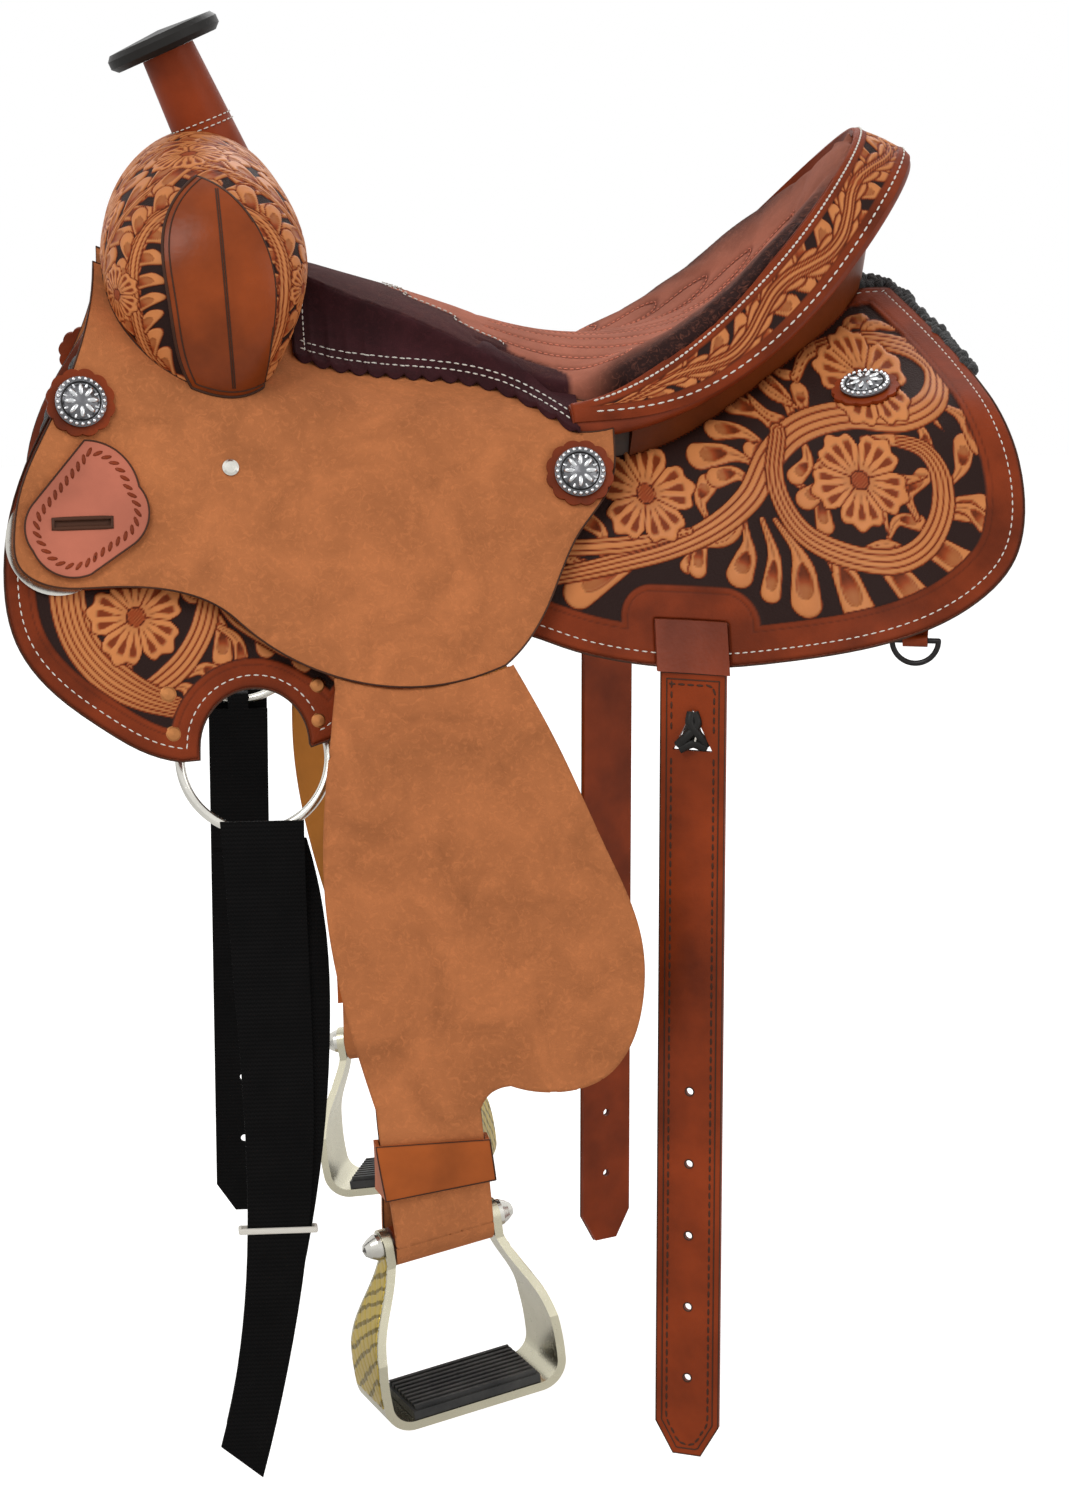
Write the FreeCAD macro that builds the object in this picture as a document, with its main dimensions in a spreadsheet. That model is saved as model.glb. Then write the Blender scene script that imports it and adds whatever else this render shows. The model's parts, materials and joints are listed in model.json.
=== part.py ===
import FreeCAD, Part
import math
import os
import Sketcher
from FreeCAD import Placement, Rotation, Vector

# Western saddle. Millimetres, +Z up, +X towards the cantle, -Y on the near (left) side.
# The origin is on the horse's spine line, below the lowest point of the seat.

doc = FreeCAD.newDocument("western_saddle")
sheet = doc.addObject("Spreadsheet::Sheet", "sizes")

SIZES = [
    # horse-back form that the skirts are blocked to: three stations along the spine
    ("front_station", -300, "x of the withers station"),
    ("mid_station", 20, "x of the seat station"),
    ("rear_station", 240, "x of the loin station"),
    ("front_rise", 78, "rise of the spine line at the withers"),
    ("rear_rise", 68, "rise of the spine line at the loin"),
    ("front_slope", 30, "slope of the bar bed at the withers, degrees"),
    ("mid_slope", 22, "slope of the bar bed under the seat, degrees"),
    ("rear_slope", 22, "slope of the bar bed at the loin, degrees"),
    ("front_run", 120, "length of the sloped bed at the withers"),
    ("mid_run", 100, "length of the sloped bed under the seat"),
    ("rear_run", 160, "length of the sloped bed at the loin"),
    ("front_bend", 90, "radius from bed to side at the withers"),
    ("mid_bend", 80, "radius from bed to side under the seat"),
    ("rear_bend", 90, "radius from bed to side at the loin"),
    ("front_side", 20, "angle of the side from vertical at the withers"),
    ("mid_side", 22, "angle of the side from vertical under the seat"),
    ("rear_side", 34, "angle of the side from vertical at the loin"),
    ("spine_gap", 25, "half the open channel along the spine"),
    ("withers_gap", 76, "half the open channel under the fork"),
    # leather and fleece
    ("clearance", 0.3, "air between pieces that lie on each other"),
    ("fleece_thick", 14, "pile and backing of the lining"),
    ("skirt_thick", 5, "skirt leather with its plug"),
    ("loop_thick", 3.6, "stirrup leather"),
    ("fender_thick", 3.6, "fender leather"),
    ("jockey_thick", 4, "jockey leather"),
    ("panel_thick", 3, "seat side panel and keeper leather"),
    ("jockey_tuck", 24.6, "height of the jockey over the bed at the withers"),
    # tree
    ("front_tree", 62, "height of the tree over the bed at the withers"),
    ("mid_tree", 48, "height of the tree over the bed under the seat"),
    ("rear_tree", 26, "height of the tree over the bed at the loin"),
    ("front_crown", 30, "slope of the top of the bars at the withers, degrees"),
    ("mid_crown", 19, "slope of the top of the bars under the seat, degrees"),
    ("rear_crown", 18, "slope of the top of the bars at the loin, degrees"),
    ("tree_bend", 55, "radius of the outer edge of the bars"),
    ("bar_front", -300, "x of the front of the bars"),
    ("bar_rear", 250, "x of the rear of the bars"),
    ("bar_inner", 34, "inner edge of the bars from the spine"),
    ("bar_outer", 132, "outer edge of the bars from the spine"),
    # skirts and jockeys
    ("skirt_front", -369, "foremost point of the skirts"),
    ("skirt_rear", 299, "rearmost point of the skirts"),
    ("skirt_drop", 203, "lowest point of the skirts below the spine"),
    ("skirt_tail", 150, "drop of the rear lobe of the skirts"),
    ("fleece_inset", 6, "margin of skirt beyond the lining"),
    ("jockey_front", -362, "foremost point of the jockeys"),
    ("jockey_rear", 36, "rearmost point of the jockeys"),
    ("pivot_along", -105, "x where the stirrup leather crosses the bar"),
    ("pivot_up", 8, "z where the stirrup leather crosses the bar"),
    ("lobe_radius", 167, "radius of the jockey's lower lobe about the bar"),
    # fenders
    ("fender_gap", 0.6, "gap between jockey edge and swinging fender"),
    ("fender_root", 226, "y of the fender's inner face at the jockey edge"),
    ("fender_plane", 256, "y of the fender's inner face where it hangs"),
    ("bulge_radius", 205, "radius about the bar where the bulge ends"),
    ("hinge_drop", 200, "drop of the line where the fender lifts"),
    ("fender_front", -165, "foremost point of the fender"),
    ("fender_rear", 45, "rearmost point of the fender"),
    ("tail_width", 70, "width of the fender tail"),
    # stirrups
    ("stirrup_along", -91, "x of the stirrup bolt"),
    ("stirrup_drop", 528, "drop of the stirrup bolt"),
    ("stirrup_turn", 16, "turn of the stirrup about its leather, degrees"),
    ("stirrup_roll", 9, "roll of the stirrup in the fender's plane, degrees"),
    ("stirrup_width", 132, "outer width across the branches"),
    ("stirrup_height", 122, "bolt to underside of the tread bar"),
    ("stirrup_neck", 84, "outer width at the eyes"),
    ("stirrup_band", 6, "thickness of the cast branches"),
    ("tread_depth", 58, "fore-and-aft width of the tread bar"),
    ("eye_radius", 11, "radius of the eyes round the bolt"),
    ("pad_thick", 9, "thickness of the rubber tread"),
    ("bolt_radius", 4.5, "radius of the stirrup bolt"),
    ("roller_radius", 11, "radius of the leather roller on the bolt"),
    # straps
    ("billet_width", 45, "width of the flank billets"),
    ("billet_thick", 4, "thickness of the flank billets"),
    ("billet_drop", 700, "lowest point of the flank billets"),
    ("billet_along", 81, "x of the flank billet at its slot"),
    ("hole_radius", 3, "radius of the buckle holes"),
    ("hole_pitch", 51, "distance between buckle holes"),
    ("first_hole", 287, "edge of skirt to the first buckle hole"),
    ("latigo_thick", 2.6, "thickness of one layer of nylon webbing"),
    ("latigo_drop", 690, "lowest point of the latigo"),
    ("offside_width", 46, "width of the off billet"),
    # hardware
    ("ring_radius", 49, "radius of the rigging ring to its wire"),
    ("ring_wire", 3.2, "wire radius of the rigging ring"),
    ("ring_along", -209, "x of the rigging ring's centre"),
    ("ring_drop", 205, "drop of the rigging ring's centre"),
    ("concho_radius", 17, "radius of the conchos"),
    ("rosette_radius", 23, "radius of the leather rosettes"),
    ("rivet_radius", 5.5, "radius of the rigging rivets"),
    ("dee_radius", 17, "radius of the rear dees"),
    ("dee_wire", 1.8, "wire radius of the rear dees"),
    # seat, cantle, swell, horn
    ("seat_front", -178, "x of the front edge of the seat"),
    ("seat_nose", 60, "half width of the seat at its front"),
    ("cantle_reach", 226, "x of the top of the cantle's inner edge"),
    ("cantle_half", 146, "half width of the cantle"),
    ("cantle_tip", 16, "height of the cantle's tips"),
    ("cantle_rise", 180, "rise of the cantle's inner edge over its tips"),
    ("roll_reach", 266, "x of the roll's outer edge"),
    ("roll_half", 158, "half width of the roll's outer edge"),
    ("roll_rise", 172, "rise of the roll's outer edge over its tips"),
    ("roll_tip", 6, "height of the outer edge at the tips"),
    ("roll_thick", 12, "thickness of the cantle roll"),
    ("pad_depth", 18, "padding of the seat"),
    ("ground_thick", 5, "ground seat leather over the strainer"),
    ("swell_along", -237, "x of the middle of the swell"),
    ("swell_up", 110, "z of the middle of the swell"),
    ("swell_half", 180, "half width of the swell"),
    ("swell_cover", 3.5, "leather of the swell cover"),
    ("gusset_thick", 2.5, "leather of the swell gussets"),
    ("gullet_half", 84, "half width of the gullet"),
    ("gullet_top", 112, "top of the gullet arch"),
    ("horn_lean", 24, "lean of the horn from vertical, degrees"),
    ("horn_neck", 23, "radius of the covered neck at the swell"),
    ("horn_waist", 19, "radius of the covered neck under the cap"),
    ("horn_height", 106, "swell's middle top to the top of the cap"),
    ("cap_radius", 41, "radius of the horn cap"),
    ("cap_thick", 13, "thickness of the horn cap"),
]

for row, (alias, number, note) in enumerate(SIZES, start=1):
    sheet.set("A%d" % row, alias)
    sheet.set("B%d" % row, str(number))
    sheet.set("C%d" % row, note)
    sheet.setAlias("B%d" % row, alias)
doc.recompute()


def size(alias):
    return float(sheet.get(alias))


CLEAR = size("clearance")
FLEECE = size("fleece_thick")
SKIRT_IN = FLEECE + CLEAR
SKIRT_OUT = SKIRT_IN + size("skirt_thick")
LOOP_IN = SKIRT_OUT + 1.0
LOOP_OUT = LOOP_IN + size("loop_thick")
JOCKEY_IN = LOOP_OUT + CLEAR + size("fender_thick")
FLOOR = -235.0          # lower end of the blocked layers
CEILING = 420.0         # above everything
FAR = 420.0             # beyond both sides
FORM_STATIONS = (-400, -340, -270, -200, -130, -60, 20, 90, 150, 210, 270, 340)


def smooth(share):
    share = min(1.0, max(0.0, share))
    return share * share * (3 - 2 * share)


def station(x):
    """Spine height, bed slope, bed run, bend radius and side angle at x."""
    mid = size("mid_station")
    if x < mid:
        end = "front"
        share = (mid - x) / (mid - size("front_station"))
        height = size("front_rise") * share * share
    else:
        end = "rear"
        share = min(1.0, (x - mid) / (size("rear_station") - mid))
        height = size("rear_rise") * (1 - math.cos(math.pi * share)) / 2
    weight = smooth(share)

    def between(kind):
        return size("mid_" + kind) * (1 - weight) + size(end + "_" + kind) * weight

    slope = math.radians(between("slope"))
    side = math.pi / 2 - math.radians(between("side"))
    crown = math.radians(between("crown"))
    return height, slope, between("run"), between("bend"), side, between("tree"), crown


def bed_section(x, offset):
    """Points of the blocked surface at x: start, bend start, bend middle, bend end, foot."""
    height, slope, run, bend, side, _, _ = station(x)
    start = (size("spine_gap"), height)
    along = (math.cos(slope), -math.sin(slope))
    out = (math.sin(slope), math.cos(slope))
    return curve_points(start, along, out, run, bend, slope, side, offset, x)


def tree_section(x, offset):
    """Points of the surface over the bars, which meets the bed's side lower down."""
    height, slope, run, bend, side, lift, top = station(x)
    tuck = size("jockey_tuck")
    rest = JOCKEY_IN + CLEAR
    tuck += (rest - tuck) * smooth((x - size("jockey_front") - 60) / 60.0)
    normal = (math.sin(side), math.cos(side))
    gap = size("spine_gap")
    reach = gap * normal[0] + height * normal[1] + run * math.sin(side - slope)
    reach += bend * (1 - math.cos(side - slope)) + tuck
    edge = size("tree_bend")
    left = reach - gap * normal[0] - (height + lift) * normal[1]
    left -= edge * (1 - math.cos(side - top))
    span = left / math.sin(side - top)
    start = (gap, height + lift)
    along = (math.cos(top), -math.sin(top))
    out = (math.sin(top), math.cos(top))
    return curve_points(start, along, out, span, edge, top, side, offset, x)


def curve_points(start, along, out, run, bend, slope, side, offset, x):
    first = (start[0] + out[0] * offset, start[1] + out[1] * offset)
    second = (first[0] + along[0] * run, first[1] + along[1] * run)
    centre = (start[0] + along[0] * run - out[0] * bend, start[1] + along[1] * run - out[1] * bend)
    radius = bend + offset
    middle = (slope + side) / 2
    third = (centre[0] + radius * math.sin(middle), centre[1] + radius * math.cos(middle))
    fourth = (centre[0] + radius * math.sin(side), centre[1] + radius * math.cos(side))
    fall = (fourth[1] - FLOOR) / math.sin(side)
    foot = (fourth[0] + fall * math.cos(side), FLOOR)
    return [Vector(x, -y, z) for y, z in (first, second, third, fourth, foot)]


def layer(section, low, high, stations=FORM_STATIONS):
    """A draped sheet between two offsets of a surface, on the near side."""
    wires = []
    for x in stations:
        a, b = section(x, low), section(x, high)
        edges = [
            Part.LineSegment(b[0], b[1]), Part.Arc(b[1], b[2], b[3]), Part.LineSegment(b[3], b[4]),
            Part.LineSegment(b[4], a[4]),
            Part.LineSegment(a[4], a[3]), Part.Arc(a[3], a[2], a[1]), Part.LineSegment(a[1], a[0]),
            Part.LineSegment(a[0], b[0]),
        ]
        wires.append(Part.Wire([edge.toShape() for edge in edges]))
    return Part.makeLoft(wires, True, False)


def under(section, offset, stations=FORM_STATIONS):
    """Everything below a surface, on the near side and across the spine channel."""
    wires = []
    for x in stations:
        a = section(x, offset)
        inner = Vector(x, 30, a[0].z)
        low_inner = Vector(x, 30, FLOOR)
        edges = [
            Part.LineSegment(inner, a[0]), Part.LineSegment(a[0], a[1]), Part.Arc(a[1], a[2], a[3]),
            Part.LineSegment(a[3], a[4]), Part.LineSegment(a[4], low_inner),
            Part.LineSegment(low_inner, inner),
        ]
        wires.append(Part.Wire([edge.toShape() for edge in edges]))
    return Part.makeLoft(wires, True, False)


def outline(start, steps):
    """A closed wire in the XZ plane: a step is a point, an arc (middle, end) or a curve."""
    def at(point):
        return Vector(point[0], 0, point[1])

    edges = []
    here = at(start)
    for step in steps:
        if isinstance(step[0], (int, float)):
            edges.append(Part.LineSegment(here, at(step)).toShape())
            here = at(step)
        elif step[0] == "arc":
            edges.append(Part.Arc(here, at(step[1]), at(step[2])).toShape())
            here = at(step[2])
        else:
            points = [here] + [at(point) for point in step[1:]]
            spline = Part.BSplineCurve()
            spline.interpolate(points)
            edges.append(spline.toShape())
            here = points[-1]
    if here.distanceToPoint(at(start)) > 1e-6:
        edges.append(Part.LineSegment(here, at(start)).toShape())
    return Part.Wire(edges)


def across(wire, near=0.0, far=FAR):
    """The outline carried from y = -near out to the near side."""
    face = Part.Face(wire)
    face.translate(Vector(0, -near, 0))
    return face.extrude(Vector(0, near - far, 0))


def mirrored(shape):
    return shape.mirror(Vector(0, 0, 0), Vector(0, 1, 0))


def single(shape):
    """The one solid of a boolean's result: its largest."""
    solids = sorted(shape.Solids, key=lambda solid: solid.Volume)
    return solids[-1].removeSplitter() if len(solids) == 1 else solids[-1]


PIECES = []


def keep(label, shape, placement=None):
    """A sub-part whose shape comes from Part's own functions."""
    feature = doc.addObject("Part::Feature", label)
    feature.Label = label
    feature.Shape = shape
    if placement is not None:
        feature.Placement = placement
    PIECES.append(feature)
    return feature


def keep_pair(label, shape):
    keep(label + "_left", shape)
    keep(label + "_right", mirrored(shape))


# ---------------------------------------------------------------- skirts and fleece

def skirt_outline(inset=0.0):
    """Side view of a skirt: rounded front, rigging arch, waist and rear lobe."""
    front, rear = size("skirt_front") + inset, size("skirt_rear") - inset
    drop, tail = -size("skirt_drop") + inset, -size("skirt_tail") + inset
    ring, arch = size("ring_along"), 36.0 + inset
    corner = ring - arch
    heel = ring + arch
    start = (front + 74 - inset, 125)
    return outline(start, [
        ("curve", (front + 47, 44), (front + 24, 5), (front + 4, -46), (front, -82),
         (front + 7, -124), (front + 29, -155), (front + 61, drop + 23), (front + 88, drop + 7),
         (corner - 12, drop)),
        (corner, drop + 0.5),
        (corner, drop + 8),
        ("arc", (ring, drop + arch + 8), (heel, drop + 8)),
        (heel + 1, drop + 6),
        (heel + 14, drop + 10),
        ("curve", (heel + 52, drop + 42 - inset / 2), (heel + 98, drop + 72), (heel + 142, drop + 74),
         (heel + 172, tail + 11), (heel + 212, tail + 2), (heel + 253, tail), (heel + 319, tail + 11),
         (heel + 380, tail + 28), (rear - 38, tail + 52), (rear - 11, tail + 76),
         (rear, tail + 111), (rear - 6, tail + 160), (rear - 21, tail + 196),
         (rear - 34, tail + 216), (rear - 52, tail + 240)),
        (rear - 60, 140),
        (start[0], 160),
    ])


def channel(grow):
    """The open channel along the spine, which widens under the fork."""
    narrow, wide = size("spine_gap") + 1 + grow, size("withers_gap") + grow
    fork_front, fork_back = size("front_station") + 20, size("front_station") + 190

    def edge(sign):
        curve = Part.BSplineCurve()
        curve.interpolate([Vector(-460, sign * wide, -260), Vector(fork_front, sign * wide, -260),
                           Vector((fork_front + fork_back) / 2, sign * (wide + narrow) / 2, -260),
                           Vector(fork_back, sign * narrow, -260), Vector(420, sign * narrow, -260)])
        return curve.toShape()

    ends = [Part.LineSegment(Vector(x, -width, -260), Vector(x, width, -260)).toShape()
            for x, width in ((-460, wide), (420, narrow))]
    wire = Part.Wire(Part.__sortEdges__([edge(1), edge(-1)] + ends))
    return Part.Face(wire).extrude(Vector(0, 0, 560))


skirt_side = layer(bed_section, SKIRT_IN, SKIRT_OUT)
skirt = single(skirt_side.common(across(skirt_outline())).cut(channel(0)))
keep_pair("skirt", skirt)

# the lining stops short of the rigging ring, which lies between skirt and lining
ring_along, ring_drop = size("ring_along"), size("ring_drop")
ring_room = size("ring_radius") + 3 * size("ring_wire")
fleece_full = layer(bed_section, 0, FLEECE).common(across(skirt_outline(size("fleece_inset"))))
ring_space = Part.makeCylinder(ring_room, FAR, Vector(ring_along, 0, -ring_drop), Vector(0, -1, 0))
tab_space = Part.makeBox(28, FAR, 94, Vector(204, -FAR, -175))
fleece = single(fleece_full.cut(ring_space).cut(tab_space).cut(channel(2)))
keep_pair("fleece", fleece)

# ---------------------------------------------------------------- seat dish

DISH_STATIONS = (-200, -150, -100, -50, 0, 50, 100, 145, 185, 215, 240)
DISH_HEIGHTS = (112, 99, 86, 71, 58, 55, 64, 88, 124, 170, 222)
DISH_EDGE = 150.0


def rim(angle):
    """Inner edge of the cantle, from tip (-90) over the top (0) to tip (90)."""
    turn = math.radians(angle)
    lift = size("cantle_tip") + size("cantle_rise") * math.cos(turn) ** 1.6
    return Vector(size("cantle_reach") * math.cos(turn), size("cantle_half") * math.sin(turn), lift)


def roll_edge(angle):
    """Outer edge of the cantle roll."""
    turn = math.radians(angle)
    share = math.cos(turn)
    lift = size("roll_tip") + size("roll_rise") * share ** 3 * (1 + 1.1 * (1 - share))
    return Vector(size("roll_reach") * share, size("roll_half") * math.sin(turn), lift)


def dish_block(drop):
    """Everything above the seat's surface lowered by drop."""
    wires = []
    for x, middle in zip(DISH_STATIONS, DISH_HEIGHTS):
        share = x / size("cantle_reach")
        if share <= 0:
            edge = middle - 40 + 26 * smooth(-x / 180.0)
            half = size("cantle_half")
        else:
            share = min(share, 0.985)
            half = size("cantle_half") * math.sqrt(1 - share * share)
            edge = size("cantle_tip") + size("cantle_rise") * share ** 1.6
        bow = (edge - middle) / (half * half)
        bow = max(-0.0030, min(0.0026, bow))
        side = middle + bow * DISH_EDGE ** 2 - drop
        pole = middle - bow * DISH_EDGE ** 2 - drop
        bow_curve = Part.BezierCurve()
        bow_curve.setPoles([Vector(x, -DISH_EDGE, side), Vector(x, 0, pole), Vector(x, DISH_EDGE, side)])
        right, left = Vector(x, DISH_EDGE, CEILING), Vector(x, -DISH_EDGE, CEILING)
        edges = [
            bow_curve.toShape(), Part.LineSegment(Vector(x, DISH_EDGE, side), right).toShape(),
            Part.LineSegment(right, left).toShape(),
            Part.LineSegment(left, Vector(x, -DISH_EDGE, side)).toShape(),
        ]
        wires.append(Part.Wire(edges))
    return Part.makeLoft(wires, True, False)


def seat_plan(inset, rear_inset=None):
    """Plan of the seat: a narrow nose that widens into the cantle's oval."""
    rear_inset = inset if rear_inset is None else rear_inset
    front = size("seat_front") + inset
    nose = size("seat_nose") - inset
    reach, half = size("cantle_reach") - rear_inset, size("cantle_half") - rear_inset
    tip = math.radians(76)
    tip_point = (reach * math.cos(tip), half * math.sin(tip))

    def side(sign):
        curve = Part.BSplineCurve()
        curve.interpolate([
            Vector(front, sign * nose, 0), Vector(front + 60, sign * (nose + 26), 0),
            Vector(front + 130, sign * (nose + 46), 0), Vector(tip_point[0] - 34, sign * (half - 20), 0),
            Vector(tip_point[0], sign * tip_point[1], 0),
        ])
        return curve.toShape()

    oval = Part.Ellipse(Vector(0, 0, 0), reach, half)
    back = Part.ArcOfEllipse(oval, -tip, tip)
    nose_edge = Part.LineSegment(Vector(front, -nose, 0), Vector(front, nose, 0))
    wire = Part.Wire(Part.__sortEdges__([side(1), side(-1), back.toShape(), nose_edge.toShape()]))
    face = Part.Face(wire)
    face.translate(Vector(0, 0, -60))
    return face.extrude(Vector(0, 0, CEILING + 60))


seat_top = dish_block(0)
seat_bottom = dish_block(size("pad_depth"))
ground_top = dish_block(size("pad_depth") + CLEAR)
ground_bottom = dish_block(size("pad_depth") + CLEAR + size("ground_thick"))
seat_floor = dish_block(size("pad_depth") + 2 * CLEAR + size("ground_thick"))
seat_pad = single(seat_bottom.common(seat_plan(0)).cut(seat_top))
ground_seat = single(ground_bottom.common(seat_plan(4)).cut(ground_top))
keep("seat_pad", seat_pad)
keep("ground_seat", ground_seat)
seat_room = seat_floor.common(seat_plan(-CLEAR))


# ---------------------------------------------------------------- tree, swell, cantle

SWELL_SECTION = (
    (66, 5), (60, 42), (34, 74), (-4, 86), (-42, 68), (-66, 24), (-60, -34), (-30, -82), (16, -98),
    (50, -52),
)
SWELL_ROWS = ((0, 0.97, 1.0), (0.36, 1.0, 0.97), (0.66, 1.0, 0.9), (0.86, 0.88, 0.74), (0.97, 0.6, 0.46),
              (1.0, 0.3, 0.22))


def swell_loft(grow):
    """The swell's full rounded body, grown evenly by a thickness."""
    half = size("swell_half") + grow
    rows = [(-share, wide, tall) for share, wide, tall in reversed(SWELL_ROWS[1:])] + list(SWELL_ROWS)
    wires = []
    for share, wide, tall in rows:
        points = []
        for along, up in SWELL_SECTION:
            reach = math.hypot(along * wide, up * tall)
            swell = (reach + grow) / reach
            points.append(Vector(size("swell_along") + along * wide * swell + 8 * share ** 2, share * half,
                                 size("swell_up") + up * tall * swell - 22 * share ** 2))
        spline = Part.BSplineCurve()
        spline.interpolate(points, True)
        wires.append(Part.Wire([spline.toShape()]))
    return Part.makeLoft(wires, True, False)


def gullet_block(grow):
    """The arch over the withers, cut through along the spine."""
    half, top = size("gullet_half") + grow, size("gullet_top") + grow
    front, back = -420.0, -60.0
    crown = top - half * 0.72
    points = [Vector(front, -half, -120), Vector(front, -half * 0.97, crown),
              Vector(front, 0, top), Vector(front, half * 0.97, crown), Vector(front, half, -120)]
    wire = Part.Wire([
        Part.LineSegment(points[0], points[1]).toShape(),
        Part.Arc(points[1], points[2], points[3]).toShape(),
        Part.LineSegment(points[3], points[4]).toShape(),
        Part.LineSegment(points[4], points[0]).toShape(),
    ])
    return Part.Face(wire).extrude(Vector(back - front, 0, 0))


def both(shape):
    return shape.fuse(mirrored(shape))


bars_top = under(tree_section, -CLEAR)
swell_seat = both(under(tree_section, 0))
horn_tilt = Rotation(Vector(0, 1, 0), -size("horn_lean"))
horn_foot = Vector(size("swell_along") + 18, 0, size("swell_up") + 58)
horn_place = Placement(horn_foot, horn_tilt)
neck_top = size("horn_height") - size("cap_thick") - 2.5
core_radius = size("horn_waist") - 6


def horn_post(radius, low, high):
    post = Part.makeCylinder(radius, high - low, Vector(0, 0, low))
    post.Placement = horn_place
    return post


core_hole = horn_post(core_radius + CLEAR, -12 - CLEAR, neck_top + 40)
inner_swell = swell_loft(-size("swell_cover") - CLEAR)
fork = inner_swell.cut(gullet_block(size("swell_cover"))).cut(swell_seat).cut(seat_room)
fork = single(fork.cut(core_hole))
keep("fork", fork)
outer_swell = swell_loft(0)
cover = outer_swell.cut(gullet_block(0)).cut(swell_seat).cut(seat_room)
cover = single(cover.cut(swell_loft(-size("swell_cover"))).cut(core_hole))
keep("swell_cover", cover)
swell_room = swell_loft(CLEAR)

GUSSET = (
    (-3, 60), ("curve", (26, 42), (46, 0), (44, -50), (22, -104), (-2, -86), (-22, -20), (-24, 30), (-3, 60)),
)


def gusset_outline():
    place = (size("swell_along"), size("swell_up"))
    shifted = [(place[0] + GUSSET[0][0], place[1] + GUSSET[0][1])]
    curve = ("curve",) + tuple((place[0] + x, place[1] + z) for x, z in GUSSET[1][1:])
    return outline(shifted[0], [curve])


gusset = swell_loft(CLEAR + size("gusset_thick")).cut(swell_room).cut(both(under(tree_section, 5)))
gusset = single(gusset.common(across(gusset_outline(), 60)))
keep_pair("swell_gusset", gusset)

bar_plan = Part.makeBox(size("bar_rear") - size("bar_front"), size("bar_outer") - size("bar_inner"), 500,
                        Vector(size("bar_front"), -size("bar_outer"), -200))
bar_plan = bar_plan.makeFillet(38, [edge for edge in bar_plan.Edges
                                    if abs(edge.Vertexes[0].Z - edge.Vertexes[1].Z) > 400])
bed_top = under(bed_section, SKIRT_OUT + CLEAR)
bar = single(bars_top.common(bar_plan).cut(bed_top).cut(seat_room).cut(channel(6)))

CANTLE_ANGLES = (-88, -72, -50, -25, 0, 25, 50, 72, 88)


def cantle_section(angle, start, end, top, bottom):
    """A strip of the roll between two shares of its width, from top to bottom below its surface."""
    inner, outer = rim(angle), roll_edge(angle)
    along = outer - inner
    normal = along.cross(Vector(0, 0, 1)).cross(along)
    normal.normalize()
    return (inner + along * start - normal * top, inner + along * end - normal * top,
            inner + along * end - normal * bottom, inner + along * start - normal * bottom, normal)


def roll_wire(angle, grow=0.0):
    thick = size("roll_thick")
    a, b, c, d, normal = cantle_section(angle, 0, 1, -grow, thick + grow)
    margin = (b - a) * (grow / (b - a).Length)
    a, b, c, d = a - margin, b + margin, c + margin, d - margin
    out = (b - a) * (4.0 / (b - a).Length)
    return Part.Wire([
        Part.Arc(a, (a + b) * 0.5 + normal * 2.5, b).toShape(),
        Part.Arc(b, (b + c) * 0.5 + out, c).toShape(),
        Part.LineSegment(c, d).toShape(), Part.LineSegment(d, a).toShape(),
    ])


cantle_roll = Part.makeLoft([roll_wire(angle) for angle in CANTLE_ANGLES], True, False)
cantle_roll = single(cantle_roll.cut(seat_plan(-CLEAR)))
keep("cantle_roll", cantle_roll)


def wall_wire(angle, inner, outer):
    """Section of the wall that carries the roll, down past the skirts."""
    top = cantle_section(angle, 0.62, 0.62, size("roll_thick") + CLEAR, 0)[0]
    turn = math.radians(angle)
    away = Vector(math.cos(turn) * 0.85, math.sin(turn), 0)
    away.normalize()
    base = Vector(top.x * 0.86, top.y * 0.90, -60)
    return Part.makePolygon([top - away * inner, top - away * outer, base - away * outer,
                             base - away * inner, top - away * inner])


BOARD_START = 56.0
WALL_ANGLES = (-76, -62, -48, -25, 0, 25, 48, 62, 76)
wall = Part.makeLoft([wall_wire(angle, 0, 4) for angle in WALL_ANGLES], True, False)
board = Part.makeLoft([wall_wire(angle, 4 + CLEAR, 18) for angle in WALL_ANGLES], True, False)
wall_floor = both(bed_top)
roll_room = Part.makeLoft([roll_wire(angle, CLEAR) for angle in CANTLE_ANGLES], True, False)
cantle_back = single(wall.cut(wall_floor).cut(seat_room).cut(roll_room))
tip_ends = Part.makeBox(FAR, 2 * FAR, 2 * FAR, Vector(BOARD_START - FAR, -FAR, -FAR))
cantle_board = single(board.cut(wall_floor).cut(seat_room).cut(roll_room).cut(tip_ends))
keep("cantle_back", cantle_back)
keep("cantle_board", cantle_board)
wall_room = Part.makeLoft([wall_wire(angle, -CLEAR, 18 + CLEAR) for angle in WALL_ANGLES], True, False)
bar = single(bar.cut(wall_room))
keep_pair("tree_bar", bar)

# ---------------------------------------------------------------- jockeys and side panels

def jockey_outline():
    front, rear = size("jockey_front"), size("jockey_rear")
    pivot, up, lobe = size("pivot_along"), size("pivot_up"), size("lobe_radius")

    def on_lobe(angle):
        turn = math.radians(angle)
        return (pivot + lobe * math.sin(turn), up - lobe * math.cos(turn))

    return outline((front + 48, 140), [
        ("curve", (front + 44, 60), (front + 25, 16), (front + 4, -30), (front, -56), (front + 3, -76),
         (front + 15, -86), (front + 56, -91), (front + 112, -97)) + (on_lobe(-42),),
        ("arc", on_lobe(-4), on_lobe(22)),
        ("curve", (rear - 47, -107), (rear - 25, -63), (rear - 6, -38), (rear, -17)),
        (rear + 2, 60),
        (rear - 60, 140),
    ])


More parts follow.
